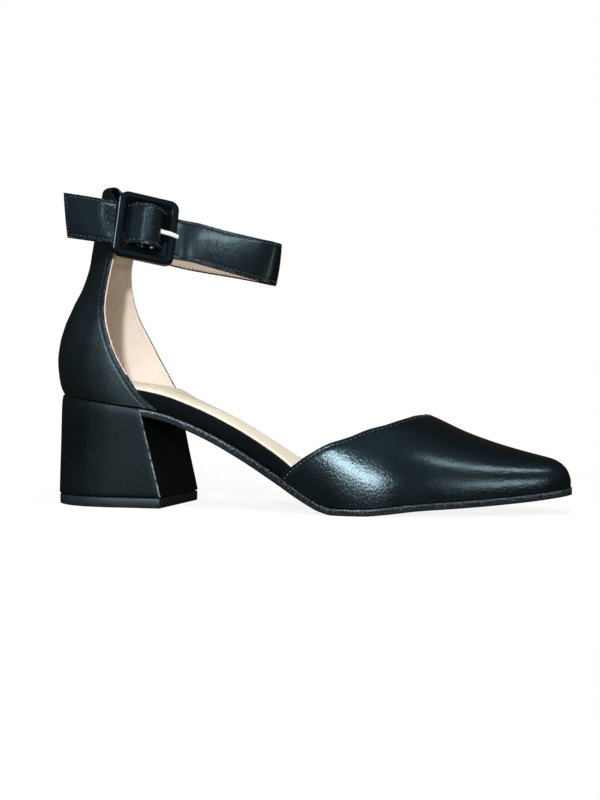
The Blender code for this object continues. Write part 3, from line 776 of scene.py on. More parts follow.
def strap_route(step):
    """Middle of the strap and its upright, from the fold on the centre bar to the free end."""
    along, up, out = buckle_axes()
    turn = np.radians(np.arange(HOOK_TURN[0], HOOK_TURN[1] - 1.0, -HOOK_STEP))
    hook = buckle_points(HOOK_RADIUS * np.cos(turn), HOOK_RADIUS * np.sin(turn) - BAR_DROP)
    run = buckle_points(BUCKLE_RUN["along"], BUCKLE_RUN["out"], BUCKLE_RUN["up"])
    reach = np.linspace(-1.0, 1.0, TUNNEL_PICKS)
    tunnel = counter_row(STRAP_RISE, TUNNEL_ROOM / 2, reach)[::TUNNEL_SKIP]
    ends = np.stack((tunnel[0] - tunnel[1], tunnel[-1] - tunnel[-2]))
    ends *= TUNNEL_LEAD / np.linalg.norm(ends, axis=1, keepdims=True)
    tunnel = np.vstack((tunnel[0] + ends[0], tunnel, tunnel[-1] + ends[1]))
    nearest = np.argmin(tunnel[:, 0])
    tunnel[:, 2] = tunnel[nearest, 2] - math.tan(STRAP_PITCH) * (tunnel[:, 0] - tunnel[nearest, 0])
    strap, free = (np.column_stack([rows[key] for key in "xyz"]) for rows in (STRAP, FREE_END))
    parts = (
        np.column_stack((hook, np.tile(up, (len(hook), 1)))),
        np.column_stack((tunnel, np.tile(UPRIGHT, (len(tunnel), 1)))),
        np.column_stack((strap, upright_of(np.gradient(strap, axis=0), STRAP["lean"]))),
        np.column_stack((run, upright_of(np.tile(-along, (len(run), 1)), BUCKLE_RUN["lean"]))),
        np.column_stack((free, upright_of(np.gradient(free, axis=0), FREE_END["lean"]))),
    )
    return smooth_route(np.vstack(parts), step)


def strap_points(step, picks):
    """Middle surface of the strap with its outward directions; rows run along it."""
    route = strap_route(step)
    middle, across = route[:, :3], route[:, 3:]
    tangent = np.gradient(middle, axis=0)
    tangent /= np.linalg.norm(tangent, axis=1, keepdims=True)
    across = across - np.sum(across * tangent, axis=1, keepdims=True) * tangent
    across /= np.linalg.norm(across, axis=1, keepdims=True)
    to_end = np.linalg.norm(middle - middle[-1], axis=1)
    ramp = np.clip(1 - to_end / STRAP_END_RAMP, 0.0, 1.0)
    ramp[: len(ramp) // 2] = 0.0
    slant = STRAP_END_SLANT * ramp[:, None] * tangent
    width = np.sin(np.linspace(-math.pi / 2, math.pi / 2, picks))[None, :, None]
    side = across[:, None] * STRAP_WIDTH / 2 + slant[:, None]
    outward = np.broadcast_to(np.cross(across, tangent)[:, None], (len(middle), picks, 3))
    away = np.linalg.norm(middle - BUCKLE_MIDDLE, axis=1)[:, None, None]
    crown = STRAP_CROWN * np.clip((away - CROWN_CLEAR) / CROWN_RAMP, 0.0, 1.0) * (1 - width ** 2)
    return middle[:, None] + width * side + crown * outward, outward


def stations(back, toe, step=1.6, ends=14, reach=16.0):
    """Places along the foot, closer together towards the ends."""
    bend = 1 - np.cos(np.linspace(0.0, math.pi / 2, ends))
    middle = np.arange(back + reach + step, toe - reach, step)
    return np.concatenate((back + reach * bend, middle, toe - reach * bend[::-1]))


def to_metres(points):
    """Places in millimetres from the heel line as metres about the shoe's origin."""
    return (np.asarray(points, float) - MIDDLE) * MM


def activate(piece):
    """Make one object the only selected and active one."""
    bpy.ops.object.select_all(action="DESELECT")
    piece.select_set(True)
    bpy.context.view_layer.objects.active = piece


def apply_modifier(piece, kind, **settings):
    """Add a modifier, set it and apply it."""
    activate(piece)
    bpy.ops.object.modifier_add(type=kind)
    modifier = piece.modifiers[-1]
    for key, value in settings.items():
        setattr(modifier, key, value)
    bpy.ops.object.modifier_apply(modifier=modifier.name)


def bent_grid(name, points):
    """Grid primitive bent through rows of points, with its doubles merged."""
    rows, columns = points.shape[:2]
    bpy.ops.object.select_all(action="DESELECT")
    bpy.ops.mesh.primitive_grid_add(x_subdivisions=columns - 1, y_subdivisions=rows - 1, size=1.0)
    piece = bpy.context.object
    piece.name = piece.data.name = name
    piece.data.vertices.foreach_set("co", to_metres(points).ravel())
    piece.data.update()
    bpy.ops.object.mode_set(mode="EDIT")
    bpy.ops.mesh.select_all(action="SELECT")
    bpy.ops.mesh.remove_doubles(threshold=WELD * MM)
    bpy.ops.object.mode_set(mode="OBJECT")
    return piece


def close_mesh(piece):
    """Fill a mesh's open ends and turn its faces outwards."""
    activate(piece)
    bpy.ops.object.mode_set(mode="EDIT")
    bpy.ops.mesh.select_all(action="SELECT")
    bpy.ops.mesh.fill_holes(sides=0)
    bpy.ops.mesh.select_all(action="SELECT")
    bpy.ops.mesh.normals_make_consistent(inside=False)
    bpy.ops.object.mode_set(mode="OBJECT")
    return piece


def closed_loft(name, rings):
    """Solid through closed rings of points, with both ends filled."""
    return close_mesh(bent_grid(name, np.concatenate((rings, rings[:, :1]), axis=1)))


def rounded_wall(points, outward, inner, outer, reach):
    """Closed sections of a wall between two distances from a sheet, with round sides."""
    low, high = (
        points + outward * np.broadcast_to(level, points.shape[:2])[..., None] for level in (inner, outer))
    bend = np.radians(np.linspace(-90.0, 90.0, EDGE_STEPS + 2))[1:-1]
    sides = []
    for end, inside in ((-1, -2), (0, 1)):
        away = points[:, end] - points[:, inside]
        away /= np.linalg.norm(away, axis=1, keepdims=True)
        middle, half = (high[:, end] + low[:, end]) / 2, (high[:, end] - low[:, end]) / 2
        sides.append(np.stack(
            [middle + half * math.sin(a) + away * reach * math.cos(a) for a in bend], axis=1))
    return np.concatenate((low, sides[0], high[:, ::-1], sides[1][:, ::-1]), axis=1)


def thin_towards(piece, places, reach, least):
    """Vertex group that thins a wall towards some places."""
    share = np.clip(distance_to(piece, places) / reach, 0.0, 1.0)
    group = piece.vertex_groups.new(name="wall")
    for i, value in enumerate(least + (1 - least) * share * (2 - share)):
        group.add([i], value, "REPLACE")


def distance_to(piece, places):
    """Distance in millimetres from each vertex to the nearest of some places."""
    tree = KDTree(len(places))
    for i, place in enumerate(to_metres(places)):
        tree.insert(place, i)
    tree.balance()
    return np.array([tree.find(vert.co)[2] for vert in piece.data.vertices]) / MM


def round_edges(piece, places, width, reach=1.6, angle=50.0):
    """Bevel the sharp edges that lie near some places."""
    near = distance_to(piece, places) < reach
    bm = bmesh.new()
    bm.from_mesh(piece.data)
    sharp = [
        near[edge.verts[0].index] and near[edge.verts[1].index]
        and len(edge.link_faces) == 2 and edge.calc_face_angle(0.0) > math.radians(angle)
        for edge in bm.edges
    ]
    bm.free()
    activate(piece)
    bpy.context.tool_settings.mesh_select_mode = (False, True, False)
    bpy.ops.object.mode_set(mode="EDIT")
    bpy.ops.mesh.select_all(action="DESELECT")
    bpy.ops.object.mode_set(mode="OBJECT")
    for edge, chosen in zip(piece.data.edges, sharp):
        edge.select = bool(chosen)
    bpy.ops.object.mode_set(mode="EDIT")
    bpy.ops.mesh.bevel(offset=width, segments=3, affect="EDGES", clamp_overlap=True)
    bpy.ops.object.mode_set(mode="OBJECT")


def set_values(piece, name, values):
    """Store one number for each vertex."""
    store = piece.data.attributes.new(name, "FLOAT", "POINT")
    store.data.foreach_set("value", np.asarray(values, np.float32))


def press_seam(piece, places, depth, breadth=0.55):
    """Pull the leather in along a stitch row."""
    away = distance_to(piece, places)
    mesh = piece.data
    co = np.empty(len(mesh.vertices) * 3)
    normal = np.empty_like(co)
    mesh.vertices.foreach_get("co", co)
    mesh.vertices.foreach_get("normal", normal)
    pull = depth * np.exp(-(away / breadth) ** 2)
    moved = co.reshape(-1, 3) - normal.reshape(-1, 3) * pull[:, None]
    mesh.vertices.foreach_set("co", moved.ravel())
    mesh.update()


def finish(piece, slot, *nodes, angle=40.0, materials=()):
    """Smooth shading, finish and place in the shoe; its slot argument is not used."""
    activate(piece)
    bpy.ops.object.shade_smooth_by_angle(angle=math.radians(angle))
    for material in materials:
        piece.data.materials.append(material)
    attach(piece, "root")
    if nodes:
        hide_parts(*nodes)
    return piece


def outward_of(points):
    """Unit directions square to a grid of points, on the side that its faces show."""
    normal = np.cross(np.gradient(points, axis=1), np.gradient(points, axis=0))
    return normal / np.maximum(np.linalg.norm(normal, axis=-1, keepdims=True), 1e-9)


def inset_run(points, outward, inset):
    """Line at a distance inside the first row of a grid, with outward directions."""
    edge = points[0]
    places, ways = [], []
    for column in range(points.shape[1]):
        near = points[:INSET_ROWS, column]
        gap = np.maximum.accumulate([np.min(np.linalg.norm(edge - place, axis=1)) for place in near])
        row = np.interp(inset, gap, np.arange(len(gap)))
        low = int(min(row, len(gap) - 2))
        share = row - low
        places.append(points[low, column] * (1 - share) + points[low + 1, column] * share)
        ways.append(outward[low, column] * (1 - share) + outward[low + 1, column] * share)
    return np.array(places), np.array(ways)


def sew(name, runs, length, pitch, thread):
    """Rows of stitches as one mesh; each run has its places and outward directions."""
    turn = np.linspace(0.0, 2 * math.pi, STITCH_SIDES, endpoint=False)
    rings = len(STITCH["along"])
    verts = []
    for places, outward in runs:
        travel = np.concatenate(([0.0], np.cumsum(np.linalg.norm(np.diff(places, axis=0), axis=1))))
        count = max(1, int(travel[-1] // pitch))
        middle = (np.arange(count) + 0.5) * travel[-1] / count

        def pick(values, at):
            return np.column_stack([np.interp(at, travel, column) for column in values.T])

        centre = pick(places, middle)
        along = pick(places, middle + length / 2) - pick(places, middle - length / 2)
        along /= np.linalg.norm(along, axis=1, keepdims=True)
        up = pick(outward, middle)
        up -= np.sum(up * along, axis=1, keepdims=True) * along
        up /= np.linalg.norm(up, axis=1, keepdims=True)
        side = np.cross(up, along)
        for ring in range(rings):
            radius = STITCH["radius"][ring] * thread / 2
            rise = STITCH["rise"][ring] * thread / 2
            base = centre + along * STITCH["along"][ring] * length / 2 + up * rise
            loop = [base + up * radius * math.sin(a) + side * radius * math.cos(a) for a in turn]
            verts.append(np.stack(loop, axis=1))
    counts = [len(block) for block in verts[::rings]]
    blocks = [np.stack(verts[i * rings:(i + 1) * rings], axis=1) for i in range(len(counts))]
    placed = to_metres(np.concatenate(blocks).reshape(-1, 3))
    faces = []
    for ring in range(rings - 1):
        for i in range(STITCH_SIDES):
            j = (i + 1) % STITCH_SIDES
            low, high = ring * STITCH_SIDES, (ring + 1) * STITCH_SIDES
            faces.append((low + i, high + i, high + j, low + j))
    each = rings * STITCH_SIDES
    caps = [tuple(range(STITCH_SIDES)), tuple(reversed(range(each - STITCH_SIDES, each)))]
    shift = np.arange(sum(counts)) * each
    every = [tuple(int(k + s) for k in face) for s in shift for face in faces + caps]
    mesh = bpy.data.meshes.new(name)
    mesh.from_pydata(placed.tolist(), [], every)
    piece = bpy.data.objects.new(name, mesh)
    bpy.context.scene.collection.objects.link(piece)
    return close_mesh(piece)


def stitch_rows(name, slot, runs, inner=False):
    """Sew rows and finish them; inside the shoe the stitches are shorter and of a pale thread."""
    sizes, colours = bpy.context.scene.shoe_sizes, bpy.context.scene.shoe_colours
    length = sizes.stitch_length / MM * (INNER_STITCH if inner else 1.0)
    piece = sew(name, runs, length, sizes.stitch_pitch / MM, sizes.thread / MM)
    kind, colour = ("inner thread", colours.inner_thread) if inner else ("black thread", colours.thread)
    finish(piece, slot, materials=[thread_material(kind, colour)])


def wire(tree, item, inputs):
    """Set a node's inputs to values, or link them to sockets."""
    for socket, value in inputs.items():
        if isinstance(value, bpy.types.NodeSocket):
            tree.links.new(value, item.inputs[socket])
        else:
            item.inputs[socket].default_value = value
    return item


def add_node(tree, kind, inputs=None, **settings):
    """One shader node with its settings, values and links."""
    item = tree.nodes.new(kind)
    for key, value in settings.items():
        setattr(item, key, value)
    return wire(tree, item, inputs or {})


def noise(tree, place, scale, detail):
    """Value of a noise texture."""
    inputs = {"Vector": place, "Scale": scale, "Detail": detail}
    return add_node(tree, "ShaderNodeTexNoise", inputs).outputs[0]


def maths(tree, operation, *values):
    """Result of a maths node on numbers or sockets."""
    return add_node(tree, "ShaderNodeMath", dict(enumerate(values)), operation=operation).outputs[0]


def new_group(name, inputs, outputs):
    """Empty shader node group with its sockets; returns it with its two end nodes."""
    group = bpy.data.node_groups.new(name, "ShaderNodeTree")
    for label, kind in inputs:
        group.interface.new_socket(label, in_out="INPUT", socket_type=kind)
    for label in outputs:
        group.interface.new_socket(label, in_out="OUTPUT", socket_type="NodeSocketFloat")
    return group, group.nodes.new("NodeGroupInput"), group.nodes.new("NodeGroupOutput")


def grain_group():
    """Fine leather grain: pebbles with crumbs on them, and a slow mottle."""
    known = bpy.data.node_groups.get("leather grain")
    if known:
        return known
    group, start, end = new_group(
        "leather grain", (("Vector", "NodeSocketVector"), ("Scale", "NodeSocketFloat")), ("Height", "Mottle"))
    place, scale = start.outputs["Vector"], start.outputs["Scale"]
    cells = add_node(group, "ShaderNodeTexVoronoi", {"Vector": place, "Scale": scale}, feature="SMOOTH_F1")
    crumbs = noise(group, place, maths(group, "MULTIPLY", scale, 2.7), 3.0)
    mottle = noise(group, place, maths(group, "MULTIPLY", scale, 0.045), 4.0)
    domes = maths(group, "SUBTRACT", 1.0, cells.outputs["Distance"])
    group.links.new(maths(group, "MULTIPLY_ADD", crumbs, 0.6, domes), end.inputs["Height"])
    group.links.new(mottle, end.inputs["Mottle"])
    return group


def wear_and_sheen_group():
    """Pale line along an edge, partly rubbed leather and partly a painted highlight: strongest at the edge
    and broken by noise.
    """
    known = bpy.data.node_groups.get("edge wear")
    if known:
        return known
    group, start, end = new_group(
        "edge wear",
        (("Vector", "NodeSocketVector"), ("Edge", "NodeSocketFloat"), ("Reach", "NodeSocketFloat"),
         ("Broken", "NodeSocketFloat")),
        ("Wear",))
    fade = add_node(
        group, "ShaderNodeMapRange",
        {"Value": start.outputs["Edge"], "From Min": 0.0, "From Max": start.outputs["Reach"],
         "To Min": 1.0, "To Max": 0.0}, interpolation_type="SMOOTHSTEP")
    patches = noise(group, start.outputs["Vector"], 420.0, 5.0)
    full = maths(group, "ADD", start.outputs["Broken"], 0.24)
    broken = remap(group, patches, 0.0, 1.0, start.outputs["Broken"], full)
    group.links.new(maths(group, "MULTIPLY", fade.outputs[0], broken), end.inputs["Wear"])
    return group


def start_material(name):
    """New material; returns it with its tree, shader and Object coordinates."""
    material = bpy.data.materials.new(name)
    material.use_nodes = True
    tree = material.node_tree
    place = add_node(tree, "ShaderNodeTexCoord").outputs["Object"]
    return material, tree, tree.nodes["Principled BSDF"], place


def add_bump(tree, shader, height, strength, distance):
    """Bump from a height to the shader's normal."""
    bump = add_node(tree, "ShaderNodeBump", {"Height": height, "Strength": strength, "Distance": distance})
    tree.links.new(bump.outputs[0], shader.inputs["Normal"])


def blend(tree, share, low, high):
    """Colour between two by a share; colours may be sockets."""
    ends = [end if isinstance(end, bpy.types.NodeSocket) else (*end, 1.0) for end in (low, high)]
    return add_node(tree, "ShaderNodeMix", {0: share, 6: ends[0], 7: ends[1]}, data_type="RGBA").outputs[2]


def shades(colour, *factors):
    """A colour made darker or lighter."""
    return [tuple(min(1.0, part * factor) for part in colour) for factor in factors]


def remap(tree, value, to_low, to_high, low=0.0, high=1.0):
    """A value moved from one range to another."""
    inputs = {"Value": value, "From Min": low, "From Max": high, "To Min": to_low, "To Max": to_high}
    return add_node(tree, "ShaderNodeMapRange", inputs).outputs[0]


def leather_material(name, colour):
    """Polished leather with fine grain, uneven gloss, and pale edges that are partly rubbed and partly a
    painted highlight.
    """
    known = bpy.data.materials.get(name)
    if known:
        return known
    look = {**LEATHER, **LEATHERS[name]}
    roughness = look["roughness"]
    worn_and_sheen = bpy.context.scene.shoe_colours.worn_and_sheen
    material, tree, shader, place = start_material(name)
    skin = add_node(
        tree, "ShaderNodeGroup", {"Vector": place, "Scale": look["grain"]}, node_tree=grain_group())
    edge = add_node(tree, "ShaderNodeAttribute", attribute_name="edge").outputs["Fac"]
    rub_and_sheen = add_node(
        tree, "ShaderNodeGroup",
        {"Vector": place, "Edge": edge, "Reach": look["wear_and_sheen"], "Broken": look["broken"]},
        node_tree=wear_and_sheen_group())
    tone = blend(tree, skin.outputs["Mottle"], *shades(colour, 0.7, 1.5))
    wire(tree, shader, {
        "Base Color": blend(tree, rub_and_sheen.outputs["Wear"], tone, worn_and_sheen),
        "Roughness": remap(tree, skin.outputs["Mottle"], roughness - 0.05, roughness + 0.07, 0.3, 0.7),
        "Coat Weight": look["coat"], "Coat Roughness": COAT_ROUGHNESS,
        "Specular IOR Level": look["specular"]})
    add_bump(tree, shader, skin.outputs["Height"], strength=0.7, distance=look["depth"])
    return material


def soft_material(name, colour, roughness, scale=900.0, depth=0.00006, shade=0.86):
    """Matte lining leather with a faint nap and slow changes of tone."""
    known = bpy.data.materials.get(name)
    if known:
        return known
    material, tree, shader, place = start_material(name)
    skin = add_node(tree, "ShaderNodeGroup", {"Vector": place, "Scale": scale}, node_tree=grain_group())
    tone = blend(tree, skin.outputs["Mottle"], *shades(colour, shade, 2 - shade))
    wire(tree, shader, {"Base Color": tone, "Roughness": roughness, "Specular IOR Level": 0.3})
    add_bump(tree, shader, skin.outputs["Height"], strength=0.3, distance=depth)
    return material


def sole_material(name, colour):
    """Black sole: a shiny band round its upper edge, with pale speckles in its colour as painted glints, and
    a duller tread.
    """
    material, tree, shader, place = start_material(name)
    band = add_node(tree, "ShaderNodeAttribute", attribute_name="band").outputs["Fac"]
    spots = noise(tree, place, scale=1500.0, detail=3.0)
    pits = add_node(tree, "ShaderNodeTexVoronoi", {"Vector": place, "Scale": 1100.0}).outputs["Distance"]
    # Pale speckles in the band's colour: painted glints.
    light = remap(tree, spots, 0.0, 1.0, 0.52, 0.66)
    painted_glints = maths(tree, "MULTIPLY", light, band)
    tree.links.new(blend(tree, painted_glints, *shades(colour, 1.0, 13.0)), shader.inputs["Base Color"])
    tree.links.new(remap(tree, band, 0.6, 0.3), shader.inputs["Roughness"])
    add_bump(tree, shader, maths(tree, "ADD", pits, spots), strength=0.6, distance=0.00012)
    return material


def rubber_material(name, colour, roughness):
    """Dull rubber with a fine moulded texture."""
    material, tree, shader, place = start_material(name)
    dust = noise(tree, place, scale=160.0, detail=5.0)
    fine = noise(tree, place, scale=2600.0, detail=2.0)
    tree.links.new(blend(tree, dust, *shades(colour, 0.8, 2.2)), shader.inputs["Base Color"])
    tree.links.new(remap(tree, dust, roughness - 0.1, roughness + 0.1), shader.inputs["Roughness"])
    add_bump(tree, shader, fine, strength=0.3, distance=0.00005)
    return material


def lacquer_material(name, colour):
    """Gloss lacquer with a slight orange peel and fine scratches."""
    material, tree, shader, place = start_material(name)
    peel = noise(tree, place, scale=420.0, detail=2.0)
    marks = noise(tree, place, scale=1500.0, detail=6.0)
    tree.links.new(remap(tree, marks, 0.2, 0.26, 0.4, 0.75), shader.inputs["Roughness"])
    tree.links.new(blend(tree, peel, *shades(colour, 0.8, 1.8)), shader.inputs["Base Color"])
    add_bump(tree, shader, peel, strength=0.06, distance=0.00002)
    return material


def metal_material(name, colour):
    """Bright plating with fine drawn lines."""
    material, tree, shader, place = start_material(name)
    lines = noise(tree, place, scale=2200.0, detail=4.0)
    tree.links.new(remap(tree, lines, 0.35, 0.5, 0.3, 0.7), shader.inputs["Roughness"])
    tree.links.new(blend(tree, lines, *shades(colour, 0.85, 1.0)), shader.inputs["Base Color"])
    wire(tree, shader, {"Metallic": 0.35})
    return material


def thread_material(name, colour, roughness=0.36):
    """Waxed thread with a fine twist."""
    known = bpy.data.materials.get(name)
    if known:
        return known
    material, tree, shader, place = start_material(name)
    twist = noise(tree, place, scale=4200.0, detail=2.0)
    tone = blend(tree, twist, *shades(colour, 0.7, 1.5))
    wire(tree, shader, {"Base Color": tone, "Roughness": roughness})
    add_bump(tree, shader, twist, strength=0.4, distance=0.00004)
    return material


class SHOE_OT_vamp(bpy.types.Operator):
    """Front upper: leather, lining and the stitch row along its topline"""

    bl_idname = "shoe.vamp"
    bl_label = "Vamp"

    def execute(self, context):
        sizes, colours = context.scene.shoe_sizes, context.scene.shoe_colours
        turns = np.linspace(0.0, 180.0, VAMP_TURNS)
        alongs = np.linspace(0.0, 1.0, VAMP_ROWS) ** END_CROWDING
        inside = vamp_points(turns, alongs)
        outward = outward_of(inside)
        lining = bent_grid("vamp_lining", vamp_points(turns, alongs, shorten=LINING_SHORT))
        apply_modifier(lining, "SOLIDIFY", thickness=sizes.lining * TOPLINE_SHARE, offset=1.0)
        leather = bent_grid("vamp_leather", inside)
        clear = sizes.lining * TOPLINE_SHARE + WELD * MM
        apply_modifier(leather, "DISPLACE", strength=clear, mid_level=0.0, direction="NORMAL")
        thin_towards(leather, inside[0], TOPLINE_TAPER, TOPLINE_SHARE)
        apply_modifier(
            leather, "SOLIDIFY", thickness=VAMP_WALL * MM - clear, offset=1.0, use_even_offset=True,
            vertex_group="wall")
        leather.vertex_groups.clear()
        edge = inside[0] + outward[0] * VAMP_WALL * TOPLINE_SHARE
        row, ways = inset_run(inside, outward, sizes.topline_inset / MM)
        outside = row + ways * VAMP_WALL * (1 + TOPLINE_SHARE) / 2
        round_edges(leather, edge, sizes.edge_round)
        press_seam(leather, outside, sizes.seam_depth)
        set_values(leather, "edge", distance_to(leather, edge))
        skin = leather_material("vamp leather", colours.leather)
        finish(leather, "vamp_leather", "vamp", materials=[skin])
        beige = soft_material("upper lining", colours.lining, LINING_ROUGHNESS)
        finish(lining, "vamp_leather", materials=[beige])
        stitch_rows("vamp_stitches", "vamp_leather", [(outside, ways)])
        return {"FINISHED"}


class SHOE_OT_counter(bpy.types.Operator):
    """Back upper: leather, lining, folded tab and the stitch rows along its front edges"""

    bl_idname = "shoe.counter"
    bl_label = "Counter"

    def execute(self, context):
        sizes, colours = context.scene.shoe_sizes, context.scene.shoe_colours
        lining_wall = sizes.lining / MM
        show, round_side = sizes.edge_show / MM, sizes.edge_round / MM
        inside, rows, folded = counter_points(COUNTER_PICKS, (show + round_side, round_side))
        wider = counter_points(COUNTER_PICKS, (0.0, show))[0]
        beige = soft_material("upper lining", colours.lining, LINING_ROUGHNESS)
        outward = outward_of(wider)
        lining = closed_loft("counter_lining", rounded_wall(
            wider[:LINING_ROWS], outward[:LINING_ROWS], 0.0, lining_wall, round_side / 2))
        skin = leather_material("counter leather", colours.leather)
        set_values(lining, "edge", np.full(len(lining.data.vertices), NO_EDGE_MARK))
        finish(lining, "counter_leather", materials=[beige, skin])
        sides = np.concatenate([wider[:, side] + outward[:, side] * lining_wall / 2 for side in (0, -1)])
        bound = distance_to(lining, sides) < BOUND_BREADTH
        for face in lining.data.polygons:
            low = face.center.y < 0 and face.center.z < BOUND_HEIGHT * MM
            face.material_index = int(low and bound[list(face.vertices)].any())
        outward = outward_of(inside)
        skive = np.clip((np.arange(len(inside)) - folded) / (len(inside) - 1 - folded), 0.0, 1.0)[:, None]
        leather = closed_loft("counter_leather", rounded_wall(
            inside, outward, (lining_wall + WELD) * (1 - skive),
            COUNTER_WALL + (WELD - COUNTER_WALL) * skive ** 2, round_side))
        edges = np.concatenate([
            inside[:, side] + outward[:, side] * COUNTER_WALL for side in (0, -1)])
        runs, inner_runs = [], []
        for side in (1, -1):
            strip, ways = (
                grid[:rows - SEAM_CLEAR_ROWS, ::side].transpose(1, 0, 2) for grid in (inside, outward))
            row, way = inset_run(strip, ways, sizes.counter_inset / MM)
            runs.append((row + way * COUNTER_WALL, way))
            inner_runs.append((row, -way))
        for places, way in runs:
            press_seam(leather, places, sizes.seam_depth)
        set_values(leather, "edge", distance_to(leather, edges))
        finish(leather, "counter_leather", "counter", materials=[skin, beige])
        ring = 2 * (COUNTER_PICKS + EDGE_STEPS)
        for face in leather.data.polygons[(folded + FLAP_DARK_ROWS) * ring:]:
            face.material_index = 1
        stitch_rows("counter_stitches", "counter_leather", runs)
        stitch_rows("counter_inner_stitches", "counter_leather", inner_runs, inner=True)
        return {"FINISHED"}


class SHOE_OT_strap(bpy.types.Operator):
    """Ankle strap: leather, lining, stitch rows and the spare hole"""

    bl_idname = "shoe.strap"
    bl_label = "Ankle strap"

    def execute(self, context):
        sizes, colours = context.scene.shoe_sizes, context.scene.shoe_colours
        middle, outward = strap_points(STRAP_STEP, STRAP_PICKS)
        half = STRAP_THICKNESS / 2
        lining_top = sizes.lining / MM - half
        centre, spread = (middle[:, -1] + middle[:, 0]) / 2, (middle[:, -1] - middle[:, 0]) / 2
        width = np.sin(np.linspace(-math.pi / 2, math.pi / 2, middle.shape[1]))
        from_edge = (1 - np.abs(width)) * STRAP_WIDTH / 2
        wrapped = np.where(from_edge < sizes.lining_inset / MM, -half, lining_top + WELD)
        round_side = sizes.edge_round / MM
        leather = closed_loft("strap_leather", rounded_wall(middle, outward, wrapped, half, round_side))
        inner = from_edge > sizes.lining_inset / MM
        lining = closed_loft("strap_lining", rounded_wall(
            middle[:, inner], outward[:, inner], -half, lining_top, WELD))
        edges = np.concatenate((middle[:, 0], middle[:, -1], middle[-1])) + half * np.concatenate(
            (outward[:, 0], outward[:, -1], outward[-1]))
        runs = self.stitch_runs(centre, spread, outward[:, 0], sizes.strap_inset / MM)
        for places, ways in runs:
            press_seam(leather, places, sizes.seam_depth)
        mark = buckle_points(*FOLD_MARK, np.linspace(-1.0, 1.0, MARK_PICKS) * STRAP_WIDTH / 2)
        press_seam(leather, mark, sizes.seam_depth * FOLD_SHARE, breadth=FOLD_BREADTH)
        for layer in (leather, lining):
            set_values(layer, "edge", distance_to(layer, edges))
        self.punch(leather, lining, sizes)
        skin = leather_material("strap leather", colours.leather)
        finish(leather, "strap_leather", "ankle_strap", materials=[skin])
        beige = soft_material("strap lining", colours.lining, LINING_ROUGHNESS)
        finish(lining, "strap_leather", materials=[beige, skin])
        # Lining near the buckle takes the dark leather: painted shade where the buckle and strap shade it.
        shade_centre = Vector(to_metres(BUCKLE_MIDDLE))
        for face in lining.data.polygons:
            face.material_index = int((face.center - shade_centre).length < SHADE_PAINT_REACH * MM)
        stitch_rows("strap_stitches", "strap_leather", runs)
        inner_runs = [(places - (STRAP_THICKNESS + WELD) * ways, -ways) for places, ways in runs[:2]]
        stitch_rows("strap_inner_stitches", "strap_leather", inner_runs, inner=True)
        return {"FINISHED"}

    def stitch_runs(self, centre, spread, way, inset):
        """Rows along both edges and across the free end, with their outward directions."""
        share = 1 - inset / (STRAP_WIDTH / 2)
        half = STRAP_THICKNESS / 2 + STRAP_CROWN * (1 - share ** 2)
        first = len(centre) // FOLDED_PART
        tail = np.arange(len(centre)) > len(centre) * TAIL_SHARE
        to_end = np.linalg.norm(centre - centre[-1], axis=1)
        last = int(np.argmin(np.where(tail, np.abs(to_end - inset), np.inf)))
        runs = [
            (centre[first:last] + side * share * spread[first:last] + half * way[first:last], way[first:last])
            for side in (1.0, -1.0)
        ]
        across = np.linspace(-share, share, END_PICKS)[:, None]
        end = centre[last] + across * spread[last] + half * way[last]
        return runs + [(end, np.repeat(way[last:last + 1], len(end), 0))]

    def punch(self, leather, lining, sizes):
        """Cut the spare hole through both layers."""
        out = Vector(buckle_axes()[2])
        at = Vector(to_metres(buckle_points(*SPARE_HOLE)))
        bpy.ops.object.select_all(action="DESELECT")
        bpy.ops.mesh.primitive_cylinder_add(
            vertices=HOLE_SIDES, radius=sizes.spare_hole, depth=HOLE_DEPTH * MM)
        cutter = bpy.context.object
        cutter.data.transform(Matrix.Translation(at) @ out.to_track_quat("Z", "Y").to_matrix().to_4x4())
        for piece in (leather, lining):
            apply_modifier(piece, "BOOLEAN", object=cutter, operation="DIFFERENCE", solver="EXACT")
        bpy.data.objects.remove(cutter, do_unlink=True)


def frame_rings():
    """Frame: a round-topped section with a bevel into its window, carried round a rounded rectangle."""
    section = np.column_stack([FRAME_SECTION[key] for key in ("out", "width", "bevel")])
    depth, width, share = smooth_route(section, FRAME_STEP)[:-1].T
    corner = BUCKLE_CORNER - BUCKLE_BAR / 2
    half_length, half_height = (
        (size - BUCKLE_BAR) / 2 - corner for size in (BUCKLE_LENGTH, BUCKLE_HEIGHT))
    rings = []
    for quarter, (front, top) in enumerate(((1, 1), (-1, 1), (-1, -1), (1, -1))):
        bevel = TOP_BEVEL if top > 0 else LOW_BEVEL
        side, end = corner + width, corner + width - share * bevel
        bend = np.maximum(side, WINDOW_CORNER) + share * bevel * BEVEL_ROUND
        for turn in np.radians(np.linspace(0.0, 90.0, FRAME_TURNS) + 90.0 * quarter):
            along = front * (half_length + side - bend + bend * abs(math.cos(turn)))
            up = top * (half_height + end - bend + bend * abs(math.sin(turn)))
            rings.append(buckle_points(along, depth, up))
    return np.array(rings)


